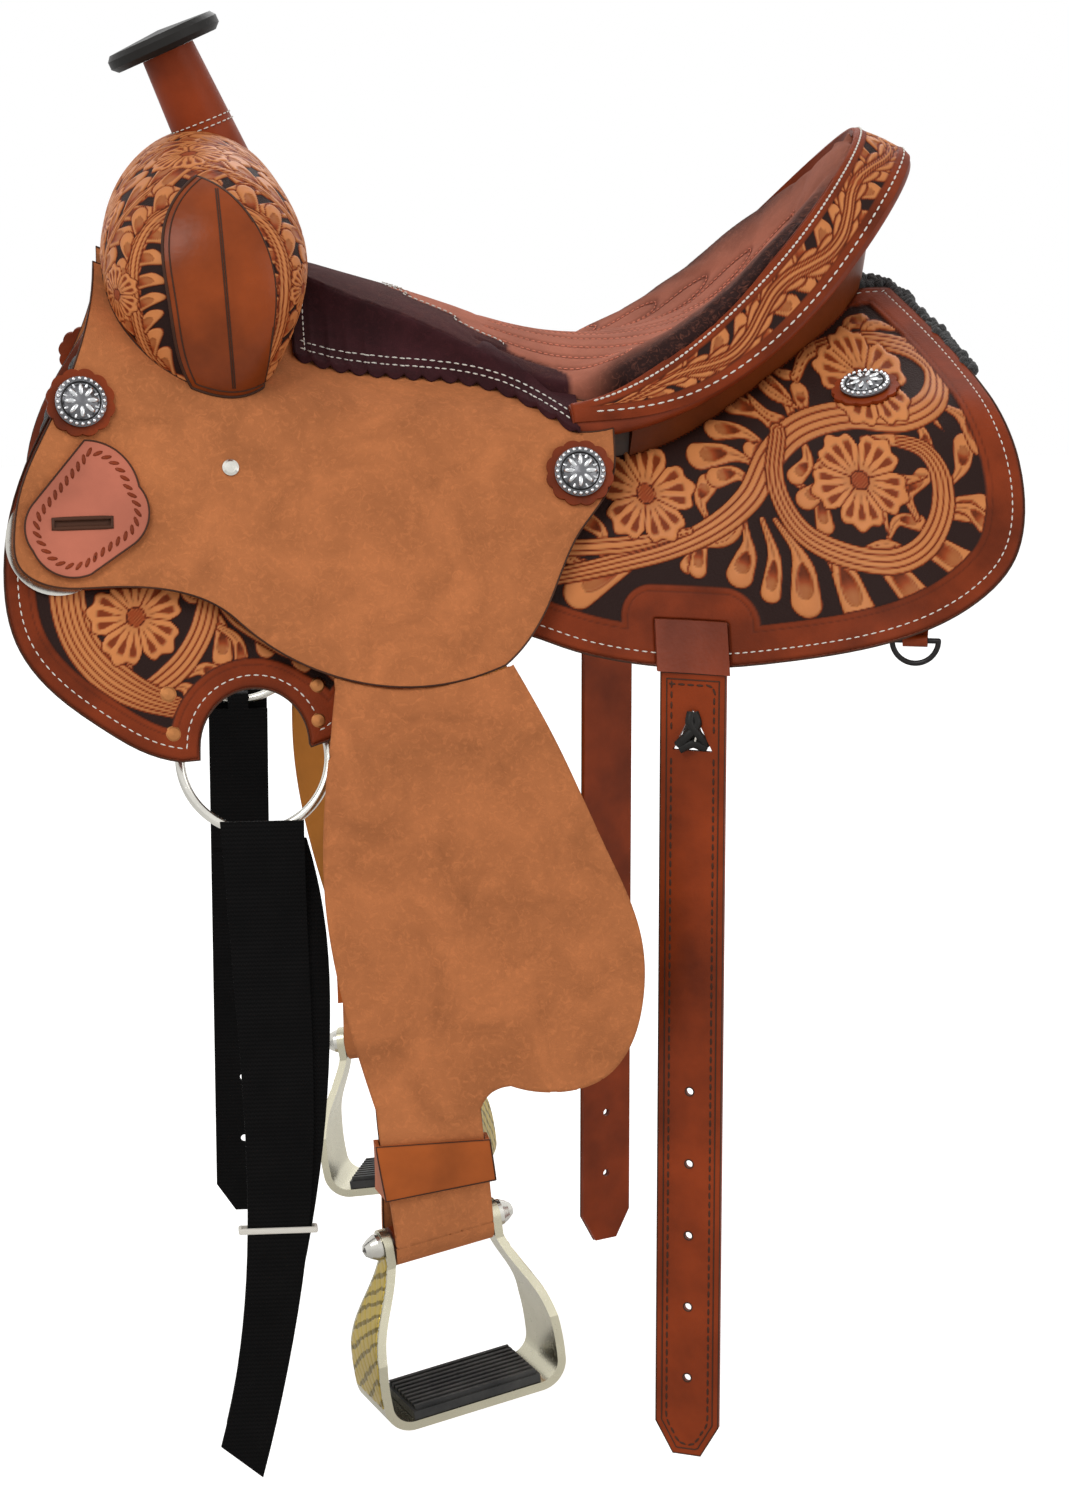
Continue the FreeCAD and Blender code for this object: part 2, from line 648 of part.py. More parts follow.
jockey_sheet = layer(tree_section, CLEAR, size("jockey_thick") + CLEAR)
jockey_top = Part.makeBox(900, 46, 900, Vector(-500, -46, -300))
jockey = jockey_sheet.common(across(jockey_outline())).cut(seat_room).cut(wall_room).cut(roll_room)
jockey = single(jockey.cut(swell_room).cut(jockey_top).cut(channel(8)))
keep_pair("jockey", jockey)

panel_low = size("jockey_thick") + 2 * CLEAR
panel_sheet = layer(tree_section, panel_low, panel_low + size("panel_thick"))


def panel_outline():
    front = size("seat_front")
    return outline((front + 2, 200), [
        (front + 2, 51),
        ("curve", (front + 79, 36), (front + 148, 24), (front + 176, 10), (front + 192, 0)),
        (front + 200, 200),
    ])


gusset_room = swell_loft(2 * CLEAR + size("gusset_thick"))
panel = panel_sheet.common(across(panel_outline())).cut(seat_room).cut(swell_room).cut(roll_room)
panel = single(panel.cut(wall_room).cut(gusset_room).cut(jockey_top))
keep_pair("seat_side", panel)


# ---------------------------------------------------------------- places on the leather

def touch(solid, x, z):
    """The point where a line across the saddle first meets a near-side layer."""
    line = Part.makeLine(Vector(x, -FAR, z), Vector(x, 0, z))
    points = [vertex.Point for vertex in line.common(solid).Vertexes]
    return min(points, key=lambda point: point.y)


def facing(solid, x, z, lift=0.0, reach=5.0):
    """Placement on a layer: z axis out of the leather, x axis along the saddle."""
    here = touch(solid, x, z)
    along = touch(solid, x + reach, z) - touch(solid, x - reach, z)
    up = touch(solid, x, z + reach) - touch(solid, x, z - reach)
    normal = along.cross(up)
    if normal.y > 0:
        normal = normal * -1
    normal.normalize()
    along.normalize()
    return Placement(here + normal * lift, Rotation(along, normal.cross(along), normal, "ZXY"))


def moved(shape, placement):
    copy = shape.copy()
    copy.Placement = placement.multiply(copy.Placement)
    return copy


def term(alias, factor=1.0, plus=0.0):
    """A length and the expression that binds it to the sheet."""
    return size(alias) * factor + plus, "sizes.%s * %s + %s" % (alias, factor, plus)


def plain(number):
    return number, None


def new_body(label):
    body = doc.addObject("PartDesign::Body", label)
    body.Label = label
    return body


def new_sketch(body, name, role):
    sketch = body.newObject("Sketcher::SketchObject", name)
    plane = [feature for feature in body.Origin.OriginFeatures if feature.Role == role][0]
    sketch.AttachmentSupport = [(plane, "")]
    sketch.MapMode = "FlatFace"
    return sketch


def bind(sketch, index, expression):
    if expression is not None:
        sketch.setExpression("Constraints[%d]" % index, expression)


def corners_sketch(body, name, role, corners):
    """A closed profile whose corners lie at bound distances from the sketch's origin."""
    sketch = new_sketch(body, name, role)
    spots = [Vector(x[0], y[0], 0) for x, y in corners]
    for index, spot in enumerate(spots):
        sketch.addGeometry(Part.LineSegment(spot, spots[(index + 1) % len(spots)]))
    for index in range(len(spots)):
        sketch.addConstraint(Sketcher.Constraint("Coincident", index, 2, (index + 1) % len(spots), 1))
    for index, (x, y) in enumerate(corners):
        for kind, (value, expression) in (("DistanceX", x), ("DistanceY", y)):
            number = sketch.addConstraint(Sketcher.Constraint(kind, -1, 1, index, 1, value))
            bind(sketch, number, expression)
    return sketch


def circle_sketch(body, name, role, x, y, radius):
    sketch = new_sketch(body, name, role)
    sketch.addGeometry(Part.Circle(Vector(x[0], y[0], 0), Vector(0, 0, 1), radius[0]))
    for kind, (value, expression) in (("DistanceX", x), ("DistanceY", y)):
        number = sketch.addConstraint(Sketcher.Constraint(kind, -1, 1, 0, 3, value))
        bind(sketch, number, expression)
    number = sketch.addConstraint(Sketcher.Constraint("Radius", 0, radius[0]))
    bind(sketch, number, radius[1])
    return sketch


def turned(label, corners):
    """A body turned about its z axis from a profile in the XZ plane."""
    body = new_body(label)
    sketch = corners_sketch(body, label + "_profile", "XZ_Plane", corners)
    turn = body.newObject("PartDesign::Revolution", label + "_turn")
    turn.Profile = sketch
    turn.ReferenceAxis = (sketch, ["V_Axis"])
    turn.Angle = 360
    doc.recompute()
    return body


def pair_group(label, shapes):
    """Like pieces of both sides in one node, each its own solid."""
    keep(label, Part.makeCompound(shapes + [mirrored(shape) for shape in shapes]))


# ---------------------------------------------------------------- conchos, rivets, keepers

concho = turned("concho", [
    (plain(0), plain(0)), (term("concho_radius"), plain(0)), (term("concho_radius"), plain(1.2)),
    (term("concho_radius", 0.82), plain(2.8)), (term("concho_radius", 0.66), plain(2.0)),
    (term("concho_radius", 0.42), plain(4.6)), (plain(0), plain(5.8)),
])
rivet = turned("rivet", [
    (plain(0), plain(0)), (term("rivet_radius"), plain(0)), (term("rivet_radius"), plain(0.8)),
    (term("rivet_radius", 0.7), plain(1.9)), (plain(0), plain(2.4)),
])

rosette_low, rosette_high = CLEAR, 3.0
jockey_high = size("jockey_thick") + CLEAR
on_skirt = layer(bed_section, SKIRT_OUT + rosette_low, SKIRT_OUT + rosette_high)
on_jockey = layer(tree_section, jockey_high + rosette_low, jockey_high + rosette_high)
CONCHO_SPOTS = ((-318, 26, on_jockey), (12, -25, on_jockey), (206, 30, on_skirt))
SCALLOPS = 12


def scalloped_disc(radius):
    """A rosette blank: round lobes about the middle, standing along z."""
    step = 2 * math.pi / SCALLOPS
    edges = []
    for lobe in range(SCALLOPS):
        angles = (lobe * step, (lobe + 0.5) * step, (lobe + 1) * step)
        reach = (radius * 0.92, radius, radius * 0.92)
        edges.append(Part.Arc(*[Vector(math.cos(a) * r, math.sin(a) * r, -25)
                                for a, r in zip(angles, reach)]).toShape())
    return Part.Face(Part.Wire(edges)).extrude(Vector(0, 0, 45))


rosettes, conchos = [], []
for spot_x, spot_z, sheet_solid in CONCHO_SPOTS:
    place = facing(sheet_solid, spot_x, spot_z)
    blank = moved(scalloped_disc(size("rosette_radius")), place)
    rosettes.append(single(sheet_solid.common(blank)))
    conchos.append(moved(concho.Shape, facing(sheet_solid, spot_x, spot_z, 3 * CLEAR)))
pair_group("rosettes", rosettes)
pair_group("conchos", conchos)

RIVET_SPOTS = ((-56, 44), (-53, 19), (42, 46), (42, 24))
rivets = [moved(rivet.Shape, facing(skirt_side, ring_along + dx, dz - ring_drop, CLEAR))
          for dx, dz in RIVET_SPOTS]
pair_group("rigging_rivets", rivets)

KEEPER_FRONT, KEEPER_TOP = -355.0, 2.0


def keeper_outline():
    front, top = KEEPER_FRONT, KEEPER_TOP
    return outline((front + 39, top), [
        (front + 6, top - 38), ("arc", (front, top - 52), (front + 5, top - 68)),
        ("arc", (front + 22, top - 84), (front + 42, top - 84)),
        (front + 70, top - 66), ("arc", (front + 80, top - 50), (front + 74, top - 30)),
        ("arc", (front + 50, top - 2), (front + 39, top)),
    ])


slot = Part.makeBox(38, FAR, 6, Vector(KEEPER_FRONT + 18, -FAR, KEEPER_TOP - 55))
keeper_sheet = layer(tree_section, panel_low, panel_low + size("panel_thick"))
keeper = single(keeper_sheet.common(across(keeper_outline())).cut(slot))
keeper = single(keeper.cut(Part.makeCompound(rosettes[:1])))
keep_pair("latigo_keeper", keeper)

# ---------------------------------------------------------------- rigging rings

side_lean = 20.0
ring_seat = touch(skirt_side, ring_along, -ring_drop + 30)
ring_place = Placement(Vector(ring_along, ring_seat.y + 14 - 30 * math.tan(math.radians(side_lean)),
                              -ring_drop), Rotation(Vector(1, 0, 0), 90 - side_lean))
for side_name, sign in (("left", 1), ("right", -1)):
    ring = doc.addObject("Part::Torus", "rigging_ring_" + side_name)
    ring.Label = "rigging_ring_" + side_name
    ring.setExpression("Radius1", "sizes.ring_radius")
    ring.setExpression("Radius2", "sizes.ring_wire")
    ring.Placement = Placement(Vector(ring_along, sign * ring_place.Base.y, -ring_drop),
                               Rotation(Vector(1, 0, 0), sign * (90 - side_lean)))
    PIECES.append(ring)
doc.recompute()

# ---------------------------------------------------------------- horn

horn_neck = Part.makeCone(size("horn_neck"), size("horn_waist"), neck_top)
cap = turned("horn_cap_blank", [
    (plain(0), plain(0)), (term("cap_radius", 0.9), plain(0)), (term("cap_radius"), term("cap_thick", 0.3)),
    (term("cap_radius"), term("cap_thick", 0.72)), (term("cap_radius", 0.93), term("cap_thick")),
    (plain(0), term("cap_thick", 1.0, 2.5)),
])
keep("horn_neck_cover", single(moved(horn_neck, horn_place).cut(swell_room).cut(core_hole)))
keep("horn_core", horn_post(core_radius, -12, neck_top))
cap_lift = Placement(Vector(0, 0, neck_top + CLEAR), Rotation())
keep("horn_cap", moved(cap.Shape, horn_place.multiply(cap_lift)))

# ---------------------------------------------------------------- stirrup leathers and fenders

pivot = Vector(size("pivot_along"), 0, size("pivot_up"))
lobe = size("lobe_radius")
strap_half = 38.0


def swinging(inner_profile):
    """A sheet turned about the line where the stirrup leather crosses the bar."""
    points = [Vector(pivot.x, -y, pivot.z - radius) for radius, y in inner_profile]
    wire = Part.makePolygon(points + [points[0]])
    face = Part.Face(wire)
    face.rotate(pivot, Vector(0, 1, 0), 60)
    return face.revolve(pivot, Vector(0, 1, 0), -120)


root, plane, bulge = size("fender_root"), size("fender_plane"), size("bulge_radius")
thick = size("fender_thick")
start_radius = lobe + size("fender_gap")
drop_end = 480.0
sheet_fender = swinging([(start_radius, root), (bulge, plane), (drop_end, plane),
                         (drop_end, plane + thick), (bulge - 1.5, plane + thick),
                         (start_radius, root + thick)])
hinge_z = -size("hinge_drop")
neck_z = -440.0


def fender_outline():
    front, rear = size("fender_front"), size("fender_rear")
    half = size("tail_width") / 2
    middle = (front + rear) / 2 - 38
    return outline((front + 6, -90), [
        (front + 9, -160),
        ("curve", (front, -235), (front, -299), (front + 13, -374), (middle - half, neck_z)),
        (middle + half, neck_z),
        ("curve", (middle + half + 5, neck_z + 9), (middle + half + 20, neck_z + 15)),
        ("curve", (rear - 53, -430), (rear - 25, -421), (rear - 8, -400), (rear, -372),
         (rear - 1, -325), (rear - 25, -264), (rear - 54, -200), (rear - 84, -144)),
        (rear - 100, -90),
    ])


fender_sheet = sheet_fender.common(across(fender_outline()))
above = Part.makeBox(500, FAR, 300, Vector(-350, -FAR, hinge_z + CLEAR))
below = Part.makeBox(500, FAR, 400, Vector(-350, -FAR, hinge_z - CLEAR - 400))
fender_top = single(fender_sheet.common(above))
fender_panel = single(fender_sheet.common(below))

tail_middle = (size("fender_front") + size("fender_rear")) / 2 - 38
bolt = Vector(size("stirrup_along"), 0, -size("stirrup_drop"))
wrap_in = size("roller_radius") + 2 * CLEAR
wrap_out = wrap_in + thick
bolt_y = plane - wrap_in
turn_angle, roll_angle = size("stirrup_turn"), size("stirrup_roll")
bolt_place = Placement(Vector(bolt.x, -bolt_y, bolt.z),
                       Rotation(Vector(0, 0, 1), turn_angle).multiply(Rotation(Vector(0, 1, 0), -roll_angle)))


def strap_section(share, near, far):
    """Cross-section of the twisting tail, from the neck (0) to the stirrup bolt (1)."""
    eased = smooth(share)
    centre = Vector(tail_middle + (bolt.x - tail_middle) * share, 0, neck_z + (bolt.z - neck_z) * share)
    spin = Rotation(Vector(0, 0, 1), turn_angle * eased).multiply(
        Rotation(Vector(0, 1, 0), -roll_angle * eased))
    half = size("tail_width") / 2 - CLEAR
    corners = [Vector(-half, -near, 0), Vector(half, -near, 0), Vector(half, -far, 0), Vector(-half, -far, 0)]
    origin = Vector(centre.x, -bolt_y, centre.z)
    points = [origin + spin.multVec(corner) for corner in corners]
    return Part.makePolygon(points + [points[0]])


TAIL_SHARES = [step / 8 for step in range(9)]
tail = Part.makeLoft([strap_section(share, wrap_in, wrap_out) for share in TAIL_SHARES], True, False)
half_tail = size("tail_width") / 2 - CLEAR
wrap_ring = Part.makeCylinder(wrap_out, 2 * half_tail, Vector(-half_tail, 0, 0), Vector(1, 0, 0))
wrap_core = Part.makeCylinder(wrap_in, 2 * half_tail, Vector(-half_tail, 0, 0), Vector(1, 0, 0))
wrap_ring = wrap_ring.cut(wrap_core)
wrap_low = wrap_ring.common(Part.makeBox(200, 60, 30, Vector(-100, -30, -30)))
wrap_low = moved(wrap_low, bolt_place)


def back_near(share):
    """Inner face of the strap that comes back up behind the tail."""
    return -wrap_out + (2 * wrap_in - CLEAR) * smooth(1 - share)


def back_section(share):
    return strap_section(share, back_near(share), back_near(share) + thick)


back_leg = Part.makeLoft([back_section(share) for share in TAIL_SHARES], True, False)
leather_top = -size("hinge_drop") - 90
leather = Part.makeBox(2 * half_tail, thick, neck_z * -1 + leather_top,
                       Vector(tail_middle - half_tail, -plane + CLEAR, neck_z))
back_leg = back_leg.fuse(leather).fuse(wrap_low)
fender_panel = single(fender_panel.fuse(tail))
stirrup_leather = single(back_leg)

keep_pair("fender_top", fender_top)
keep_pair("fender", fender_panel)
keep_pair("stirrup_leather", stirrup_leather)

loop_outline = outline((pivot.x - strap_half, 60), [
    (pivot.x - strap_half, -130), ("arc", (pivot.x, pivot.z - lobe + 1.5), (pivot.x + strap_half, -130)),
    (pivot.x + strap_half, 60)])
leather_loop = layer(bed_section, LOOP_IN, LOOP_OUT).common(across(loop_outline, 148))
leather_loop = single(leather_loop.cut(bar))
keep_pair("leather_loop", leather_loop)

# ---------------------------------------------------------------- hobble straps

hobble_shares = (0.25, 0.375, 0.5, 0.625)


def hobble_wire(share, grow):
    low, high = wrap_out + grow, back_near(share) - grow
    eased = smooth(share)
    centre = Vector(tail_middle + (bolt.x - tail_middle) * share, -bolt_y, neck_z + (bolt.z - neck_z) * share)
    roll = Rotation(Vector(0, 1, 0), -roll_angle * eased)
    spin = Rotation(Vector(0, 0, 1), turn_angle * eased).multiply(roll)
    half = size("tail_width") / 2 + grow
    corners = [Vector(-half, -low, 0), Vector(half, -low, 0), Vector(half, -high, 0), Vector(-half, -high, 0)]
    points = [centre + spin.multVec(corner) for corner in corners]
    return Part.makePolygon(points + [points[0]])


band_out = Part.makeLoft([hobble_wire(share, 2 * CLEAR + 2.6) for share in hobble_shares], True, False)
band_shares = (0.125, *hobble_shares, 0.75)
band_in = Part.makeLoft([hobble_wire(share, 2 * CLEAR) for share in band_shares], True, False)
keep_pair("hobble_strap", single(band_out.cut(band_in)))

# ---------------------------------------------------------------- stirrups

half_width, band = size("stirrup_width") / 2, size("stirrup_band")
neck_half, tall = size("stirrup_neck") / 2, size("stirrup_height")
eye = size("eye_radius")


def bell(inset, top):
    """Front view of the bell: narrow at the eyes, wide and square at the tread."""
    eye_half, wide, foot = neck_half - inset, half_width - inset, -tall + inset
    corner = 20.0 - inset
    lower = foot + corner
    bend = 0.29 * corner
    return outline((-eye_half, top), [
        (-eye_half, -12),
        ("curve", (-eye_half - 7, -30), (-wide + 4, -58), (-wide, -82), (-wide, lower)),
        ("arc", (-wide + bend, foot + bend), (-wide + corner, foot)),
        (wide - corner, foot),
        ("arc", (wide - bend, foot + bend), (wide, lower)),
        ("curve", (wide, -82), (wide - 4, -58), (eye_half + 7, -30), (eye_half, -12)),
        (eye_half, top),
    ])


def slab(wire, half_depth):
    face = Part.Face(wire)
    face.translate(Vector(0, half_depth, 0))
    return face.extrude(Vector(0, -2 * half_depth, 0))


def side_view():
    """Side view of a branch: round eye, slim neck, full width at the tread."""
    depth = size("tread_depth") / 2
    points = [(-eye, 0), (-eye + 1, -14), (-depth, -72), (-depth, -tall), (depth, -tall), (depth, -72),
              (eye - 1, -14), (eye, 0)]
    spots = [Vector(0, y, z) for y, z in points]
    edges = [Part.LineSegment(a, b).toShape() for a, b in zip(spots, spots[1:])]
    edges.append(Part.Arc(spots[-1], Vector(0, 0, eye), spots[0]).toShape())
    face = Part.Face(Part.Wire(edges))
    face.translate(Vector(-150, 0, 0))
    return face.extrude(Vector(300, 0, 0))


frame = slab(bell(0, 14), 40).cut(slab(bell(band, 30), 45)).common(side_view())
bolt_hole = Part.makeCylinder(size("bolt_radius") + CLEAR, 200, Vector(-100, 0, 0), Vector(1, 0, 0))
frame = single(frame.cut(bolt_hole))

bolt_reach = neck_half
nut = turned("acorn_nut", [
    (plain(0), plain(0)), (term("bolt_radius", 2.0), plain(0)), (term("bolt_radius", 2.0), plain(3)),
    (term("bolt_radius", 1.5), plain(7.5)), (term("bolt_radius", 0.9), plain(11)), (plain(0), plain(12.5)),
])
nut_rear = moved(nut.Shape, Placement(Vector(bolt_reach + CLEAR, 0, 0), Rotation(Vector(0, 1, 0), 90)))
nut_front = moved(nut.Shape, Placement(Vector(-bolt_reach - CLEAR, 0, 0), Rotation(Vector(0, 1, 0), -90)))
bolt_rod = Part.makeCylinder(size("bolt_radius"), 2 * bolt_reach + 2 * CLEAR,
                             Vector(-bolt_reach - CLEAR, 0, 0), Vector(1, 0, 0))
bolt_rod = bolt_rod.fuse([nut_rear, nut_front])
roller = Part.makeCylinder(size("roller_radius"), 2 * half_tail - 2,
                           Vector(1 - half_tail, 0, 0), Vector(1, 0, 0))
roller = roller.cut(bolt_hole)

tread_body = new_body("tread_blank")
pad_length = half_width * 2 - 2 * band - 28
pad_depth = size("tread_depth") - 2
base = corners_sketch(tread_body, "tread_base", "XY_Plane", [
    (plain(0), plain(0)), (term("stirrup_width", 1, -2 * band - 28), plain(0)),
    (term("stirrup_width", 1, -2 * band - 28), term("tread_depth", 1, -2)),
    (plain(0), term("tread_depth", 1, -2))])
base_pad = tread_body.newObject("PartDesign::Pad", "tread_pad")
base_pad.Profile = base
base_pad.setExpression("Length", "sizes.pad_thick - 3")
doc.recompute()
rib = corners_sketch(tread_body, "rib_profile", "XY_Plane", [
    (plain(2), plain(2)), (term("stirrup_width", 1, -2 * band - 30), plain(2)),
    (term("stirrup_width", 1, -2 * band - 30), plain(5)), (plain(2), plain(5))])
rib_pad = tread_body.newObject("PartDesign::Pad", "rib_pad")
rib_pad.Profile = rib
rib_pad.setExpression("Length", "sizes.pad_thick")
ribs = tread_body.newObject("PartDesign::LinearPattern", "ribs")
ribs.Originals = [rib_pad]
ribs.Direction = (rib, ["V_Axis"])
ribs.setExpression("Length", "sizes.tread_depth - 9")
ribs.Occurrences = 9
tread_body.Tip = ribs
doc.recompute()
tread_base = Vector(-pad_length / 2, -pad_depth / 2, -tall + band + CLEAR)
tread = moved(tread_body.Shape, Placement(tread_base, Rotation()))

for label, shape in (("stirrup", frame), ("stirrup_tread", tread), ("stirrup_bolt", bolt_rod),
                     ("stirrup_roller", roller)):
    keep_pair(label, moved(shape, bolt_place))

# ---------------------------------------------------------------- flank billets

billet_x, billet_half = size("billet_along"), size("billet_width") / 2
billet_thick = size("billet_thick")
edge_z = -size("skirt_tail") - 3.0
billet_out = SKIRT_OUT + CLEAR
loop_strip = layer(bed_section, billet_out, billet_out + billet_thick)
billet_box = Part.makeBox(2 * billet_half, FAR, 33, Vector(billet_x - billet_half, -FAR, edge_z + CLEAR))
billet_loop = single(loop_strip.common(billet_box))
pair_group("billet_loops", [billet_loop])

left_edge = touch(skirt_side, billet_x - billet_half, edge_z + 2)
right_edge = touch(skirt_side, billet_x + billet_half, edge_z + 2)
billet_yaw = math.degrees(math.atan2(right_edge.y - left_edge.y, right_edge.x - left_edge.x))
billet_y = (left_edge.y + right_edge.y) / 2 - 2.0
billet_place = Placement(Vector(billet_x, billet_y, edge_z - CLEAR), Rotation(Vector(0, 0, 1), billet_yaw))
billet_length = size("billet_drop") + billet_place.Base.z


def strap_body(label, width, thickness, length, point, holes, hole_start):
    """A strap that hangs from its top edge: pointed end and a row of buckle holes."""
    body = new_body(label)
    run = (length[0] - point, "(%s) - %s" % (length[1], point))
    middle = (width[0] / 2, "(%s) / 2" % width[1])
    sketch = corners_sketch(body, label + "_outline", "XZ_Plane", [
        (plain(0), plain(0)), (width, plain(0)), (width, run),
        ((width[0] * 0.72, "(%s) * 0.72" % width[1]), length),
        ((width[0] * 0.28, "(%s) * 0.28" % width[1]), length),
        (plain(0), run)])
    pad = body.newObject("PartDesign::Pad", label + "_strap")
    pad.Profile = sketch
    pad.setExpression("Length", thickness[1])
    doc.recompute()
    hole = circle_sketch(body, label + "_hole", "XZ_Plane", middle, hole_start, term("hole_radius"))
    pocket = body.newObject("PartDesign::Pocket", label + "_punch")
    pocket.Profile = hole
    pocket.Type = 1
    pocket.Midplane = True
    row = body.newObject("PartDesign::LinearPattern", label + "_row")
    row.Originals = [pocket]
    row.Direction = (hole, ["V_Axis"])
    row.setExpression("Length", "sizes.hole_pitch * %d" % (holes - 1))
    row.Occurrences = holes
    body.Tip = row
    doc.recompute()
    return body


billet_body = strap_body("flank_billet_blank", term("billet_width"), term("billet_thick"),
                         (billet_length, "sizes.billet_drop + %s" % billet_place.Base.z), 22, 5,
                         term("first_hole"))
flip = Placement(Vector(-billet_half, 0, 0), Rotation(Vector(1, 0, 0), 180))
billet_flat = moved(billet_body.Shape, flip)
window_corners = [Vector(-14, -20, -52), Vector(14, -20, -52), Vector(0, -20, -24)]
window = Part.makePolygon([*window_corners, window_corners[0]])
billet_flat = billet_flat.cut(Part.Face(window).extrude(Vector(0, 40, 0)))
keep_pair("flank_billet", moved(single(billet_flat), billet_place))

# ---------------------------------------------------------------- latigo and off billet

ring_base = ring_place.Base
lean = math.radians(side_lean)
ring_low = Vector(ring_base.x, ring_base.y - size("ring_radius") * math.sin(lean),
                  ring_base.z - size("ring_radius") * math.cos(lean))
webbing = size("latigo_thick")
loop_room = size("ring_wire") + 1.2
loop_centre = ring_low + Vector(0, 0, -0.2)


def hanging_layer(side, top, bottom, width=400):
    """One layer of a strap doubled through the ring: side 1 in front, -1 behind."""
    apart, together = loop_room, 0.15
    path = [(apart, top), (apart, loop_centre.z - 8), (together, loop_centre.z - 75), (together, bottom)]
    near = [Vector(-400, loop_centre.y - side * y, z) for y, z in path]
    far = [Vector(-400, loop_centre.y - side * (y + webbing), z) for y, z in path]
    wire = Part.makePolygon(near + far[::-1] + [near[0]])
    return Part.Face(wire).extrude(Vector(width, 0, 0))


def ring_loop(half):
    """The turn of the strap over the wire of the ring."""
    axis, start = Vector(1, 0, 0), loop_centre - Vector(half, 0, 0)
    tube = Part.makeCylinder(loop_room + webbing, 2 * half, start, axis)
    tube = tube.cut(Part.makeCylinder(loop_room, 2 * half, start, axis))
    upper = Part.makeBox(400, 60, 40, Vector(-400, loop_centre.y - 30, loop_centre.z))
    return tube.common(upper)


loop_half = 8.0
cut_end = -size("latigo_drop")
latigo_front = outline((ring_along - 24, -243), [
    ("curve", (ring_along - 20, -300), (ring_along - 18, -331), (ring_along - 10, -524),
     (ring_along - 30, cut_end + 14)),
    (ring_along - 2, cut_end - 9),
    ("curve", (ring_along + 20, -600), (ring_along + 31, -524), (ring_along + 33, -331),
     (ring_along + 32, -300), (ring_along + 31, -243)),
])
latigo_back = outline((ring_along - 20, loop_centre.z - 6), [
    ("curve", (ring_along - 14, -331), (ring_along - 8, -524), (ring_along - 26, cut_end + 30)),
    (ring_along - 4, cut_end + 20),
    ("curve", (ring_along + 33, -524), (ring_along + 47, -380), (ring_along + 46, -331),
     (ring_along + 33, loop_centre.z - 6)),
])
front_web = hanging_layer(1, -240, cut_end - 20).common(across(latigo_front))
back_web = hanging_layer(-1, -240, cut_end - 20).common(across(latigo_back))
throat = Part.makeBox(2 * loop_half, 60, 14, loop_centre - Vector(loop_half, 30, 13))
throat_front = hanging_layer(1, loop_centre.z + 0.01, loop_centre.z - 40).common(throat)
throat_back = hanging_layer(-1, loop_centre.z + 0.01, loop_centre.z - 40).common(throat)
latigo = front_web.fuse(ring_loop(loop_half)).fuse(throat_front).fuse(throat_back).fuse(back_web)
keep("latigo_left", single(latigo))

half_off = size("offside_width") / 2
off_low = -size("latigo_drop") + 20
off_front = outline((ring_along - half_off, -244), [
    (ring_along - half_off, off_low + 22), (ring_along - 8, off_low), (ring_along + 8, off_low),
    (ring_along + half_off, off_low + 22), (ring_along + half_off, -244)])
off_back = outline((ring_along - half_off, loop_centre.z - 6), [
    (ring_along - half_off, -370), (ring_along + half_off, -370), (ring_along + half_off, loop_centre.z - 6)])
off_strap = hanging_layer(1, -240, off_low - 5).common(across(off_front))
off_return = hanging_layer(-1, -240, off_low - 5).common(across(off_back))
off_strap = off_strap.fuse(ring_loop(loop_half)).fuse(throat_front).fuse(throat_back).fuse(off_return)
OFF_HOLES = 6
for index in range(OFF_HOLES):
    spot = Vector(ring_along, 0, off_low + 60 + index * size("hole_pitch"))
    off_strap = off_strap.cut(Part.makeCylinder(size("hole_radius"), FAR, spot, Vector(0, -1, 0)))
keep("off_billet_right", mirrored(single(off_strap)))

tie_z = -526.0
tie_mid = ring_along + 10.5
tie_half, tie_deep = 24.5, webbing + 0.15 + CLEAR
tie_out = Part.makeBox(2 * tie_half + 4, 2 * tie_deep + 4, 4,
                       Vector(tie_mid - tie_half - 2, loop_centre.y - tie_deep - 2, tie_z))
tie_in = Part.makeBox(2 * tie_half, 2 * tie_deep, 10,
                      Vector(tie_mid - tie_half, loop_centre.y - tie_deep, tie_z - 3))
keep("latigo_tie", tie_out.makeFillet(1.2, tie_out.Edges).cut(tie_in))

# ---------------------------------------------------------------- dees, screws, lacing

dee_x, dee_lift = 218.0, -124.0
dee_skin = touch(skirt_side, dee_x, dee_lift + 6)
dee_left = touch(skirt_side, dee_x - 10, dee_lift + 8)
dee_right = touch(skirt_side, dee_x + 10, dee_lift + 8)
dee_yaw = math.degrees(math.atan2(dee_right.y - dee_left.y, dee_right.x - dee_left.x))
dee_slope = 33.0
wire = size("dee_wire")
sleeve = wire + CLEAR + 2.0
inward = (size("skirt_thick") + CLEAR + sleeve) / math.cos(math.radians(dee_slope))
dee_y = dee_skin.y - 6 * math.tan(math.radians(dee_slope)) + inward
dee_place = Placement(Vector(dee_x, dee_y, dee_lift), Rotation(Vector(0, 0, 1), dee_yaw))
dee_reach = size("dee_radius") - 2
arc = Part.makeTorus(dee_reach, wire, Vector(0, 0, 0), Vector(0, 1, 0))
arc = arc.common(Part.makeBox(80, 20, 40, Vector(-40, -10, -40)))
dee = arc.fuse(Part.makeCylinder(wire, 2 * dee_reach, Vector(-dee_reach, 0, 0), Vector(1, 0, 0)))
for end in (-dee_reach, dee_reach):
    dee = dee.fuse(Part.makeSphere(wire, Vector(end, 0, 0)))
keep_pair("rear_dee", moved(single(dee), dee_place))
tab_half = 8.0
tab = Part.makeCylinder(sleeve, 2 * tab_half, Vector(-tab_half, 0, 0), Vector(1, 0, 0))
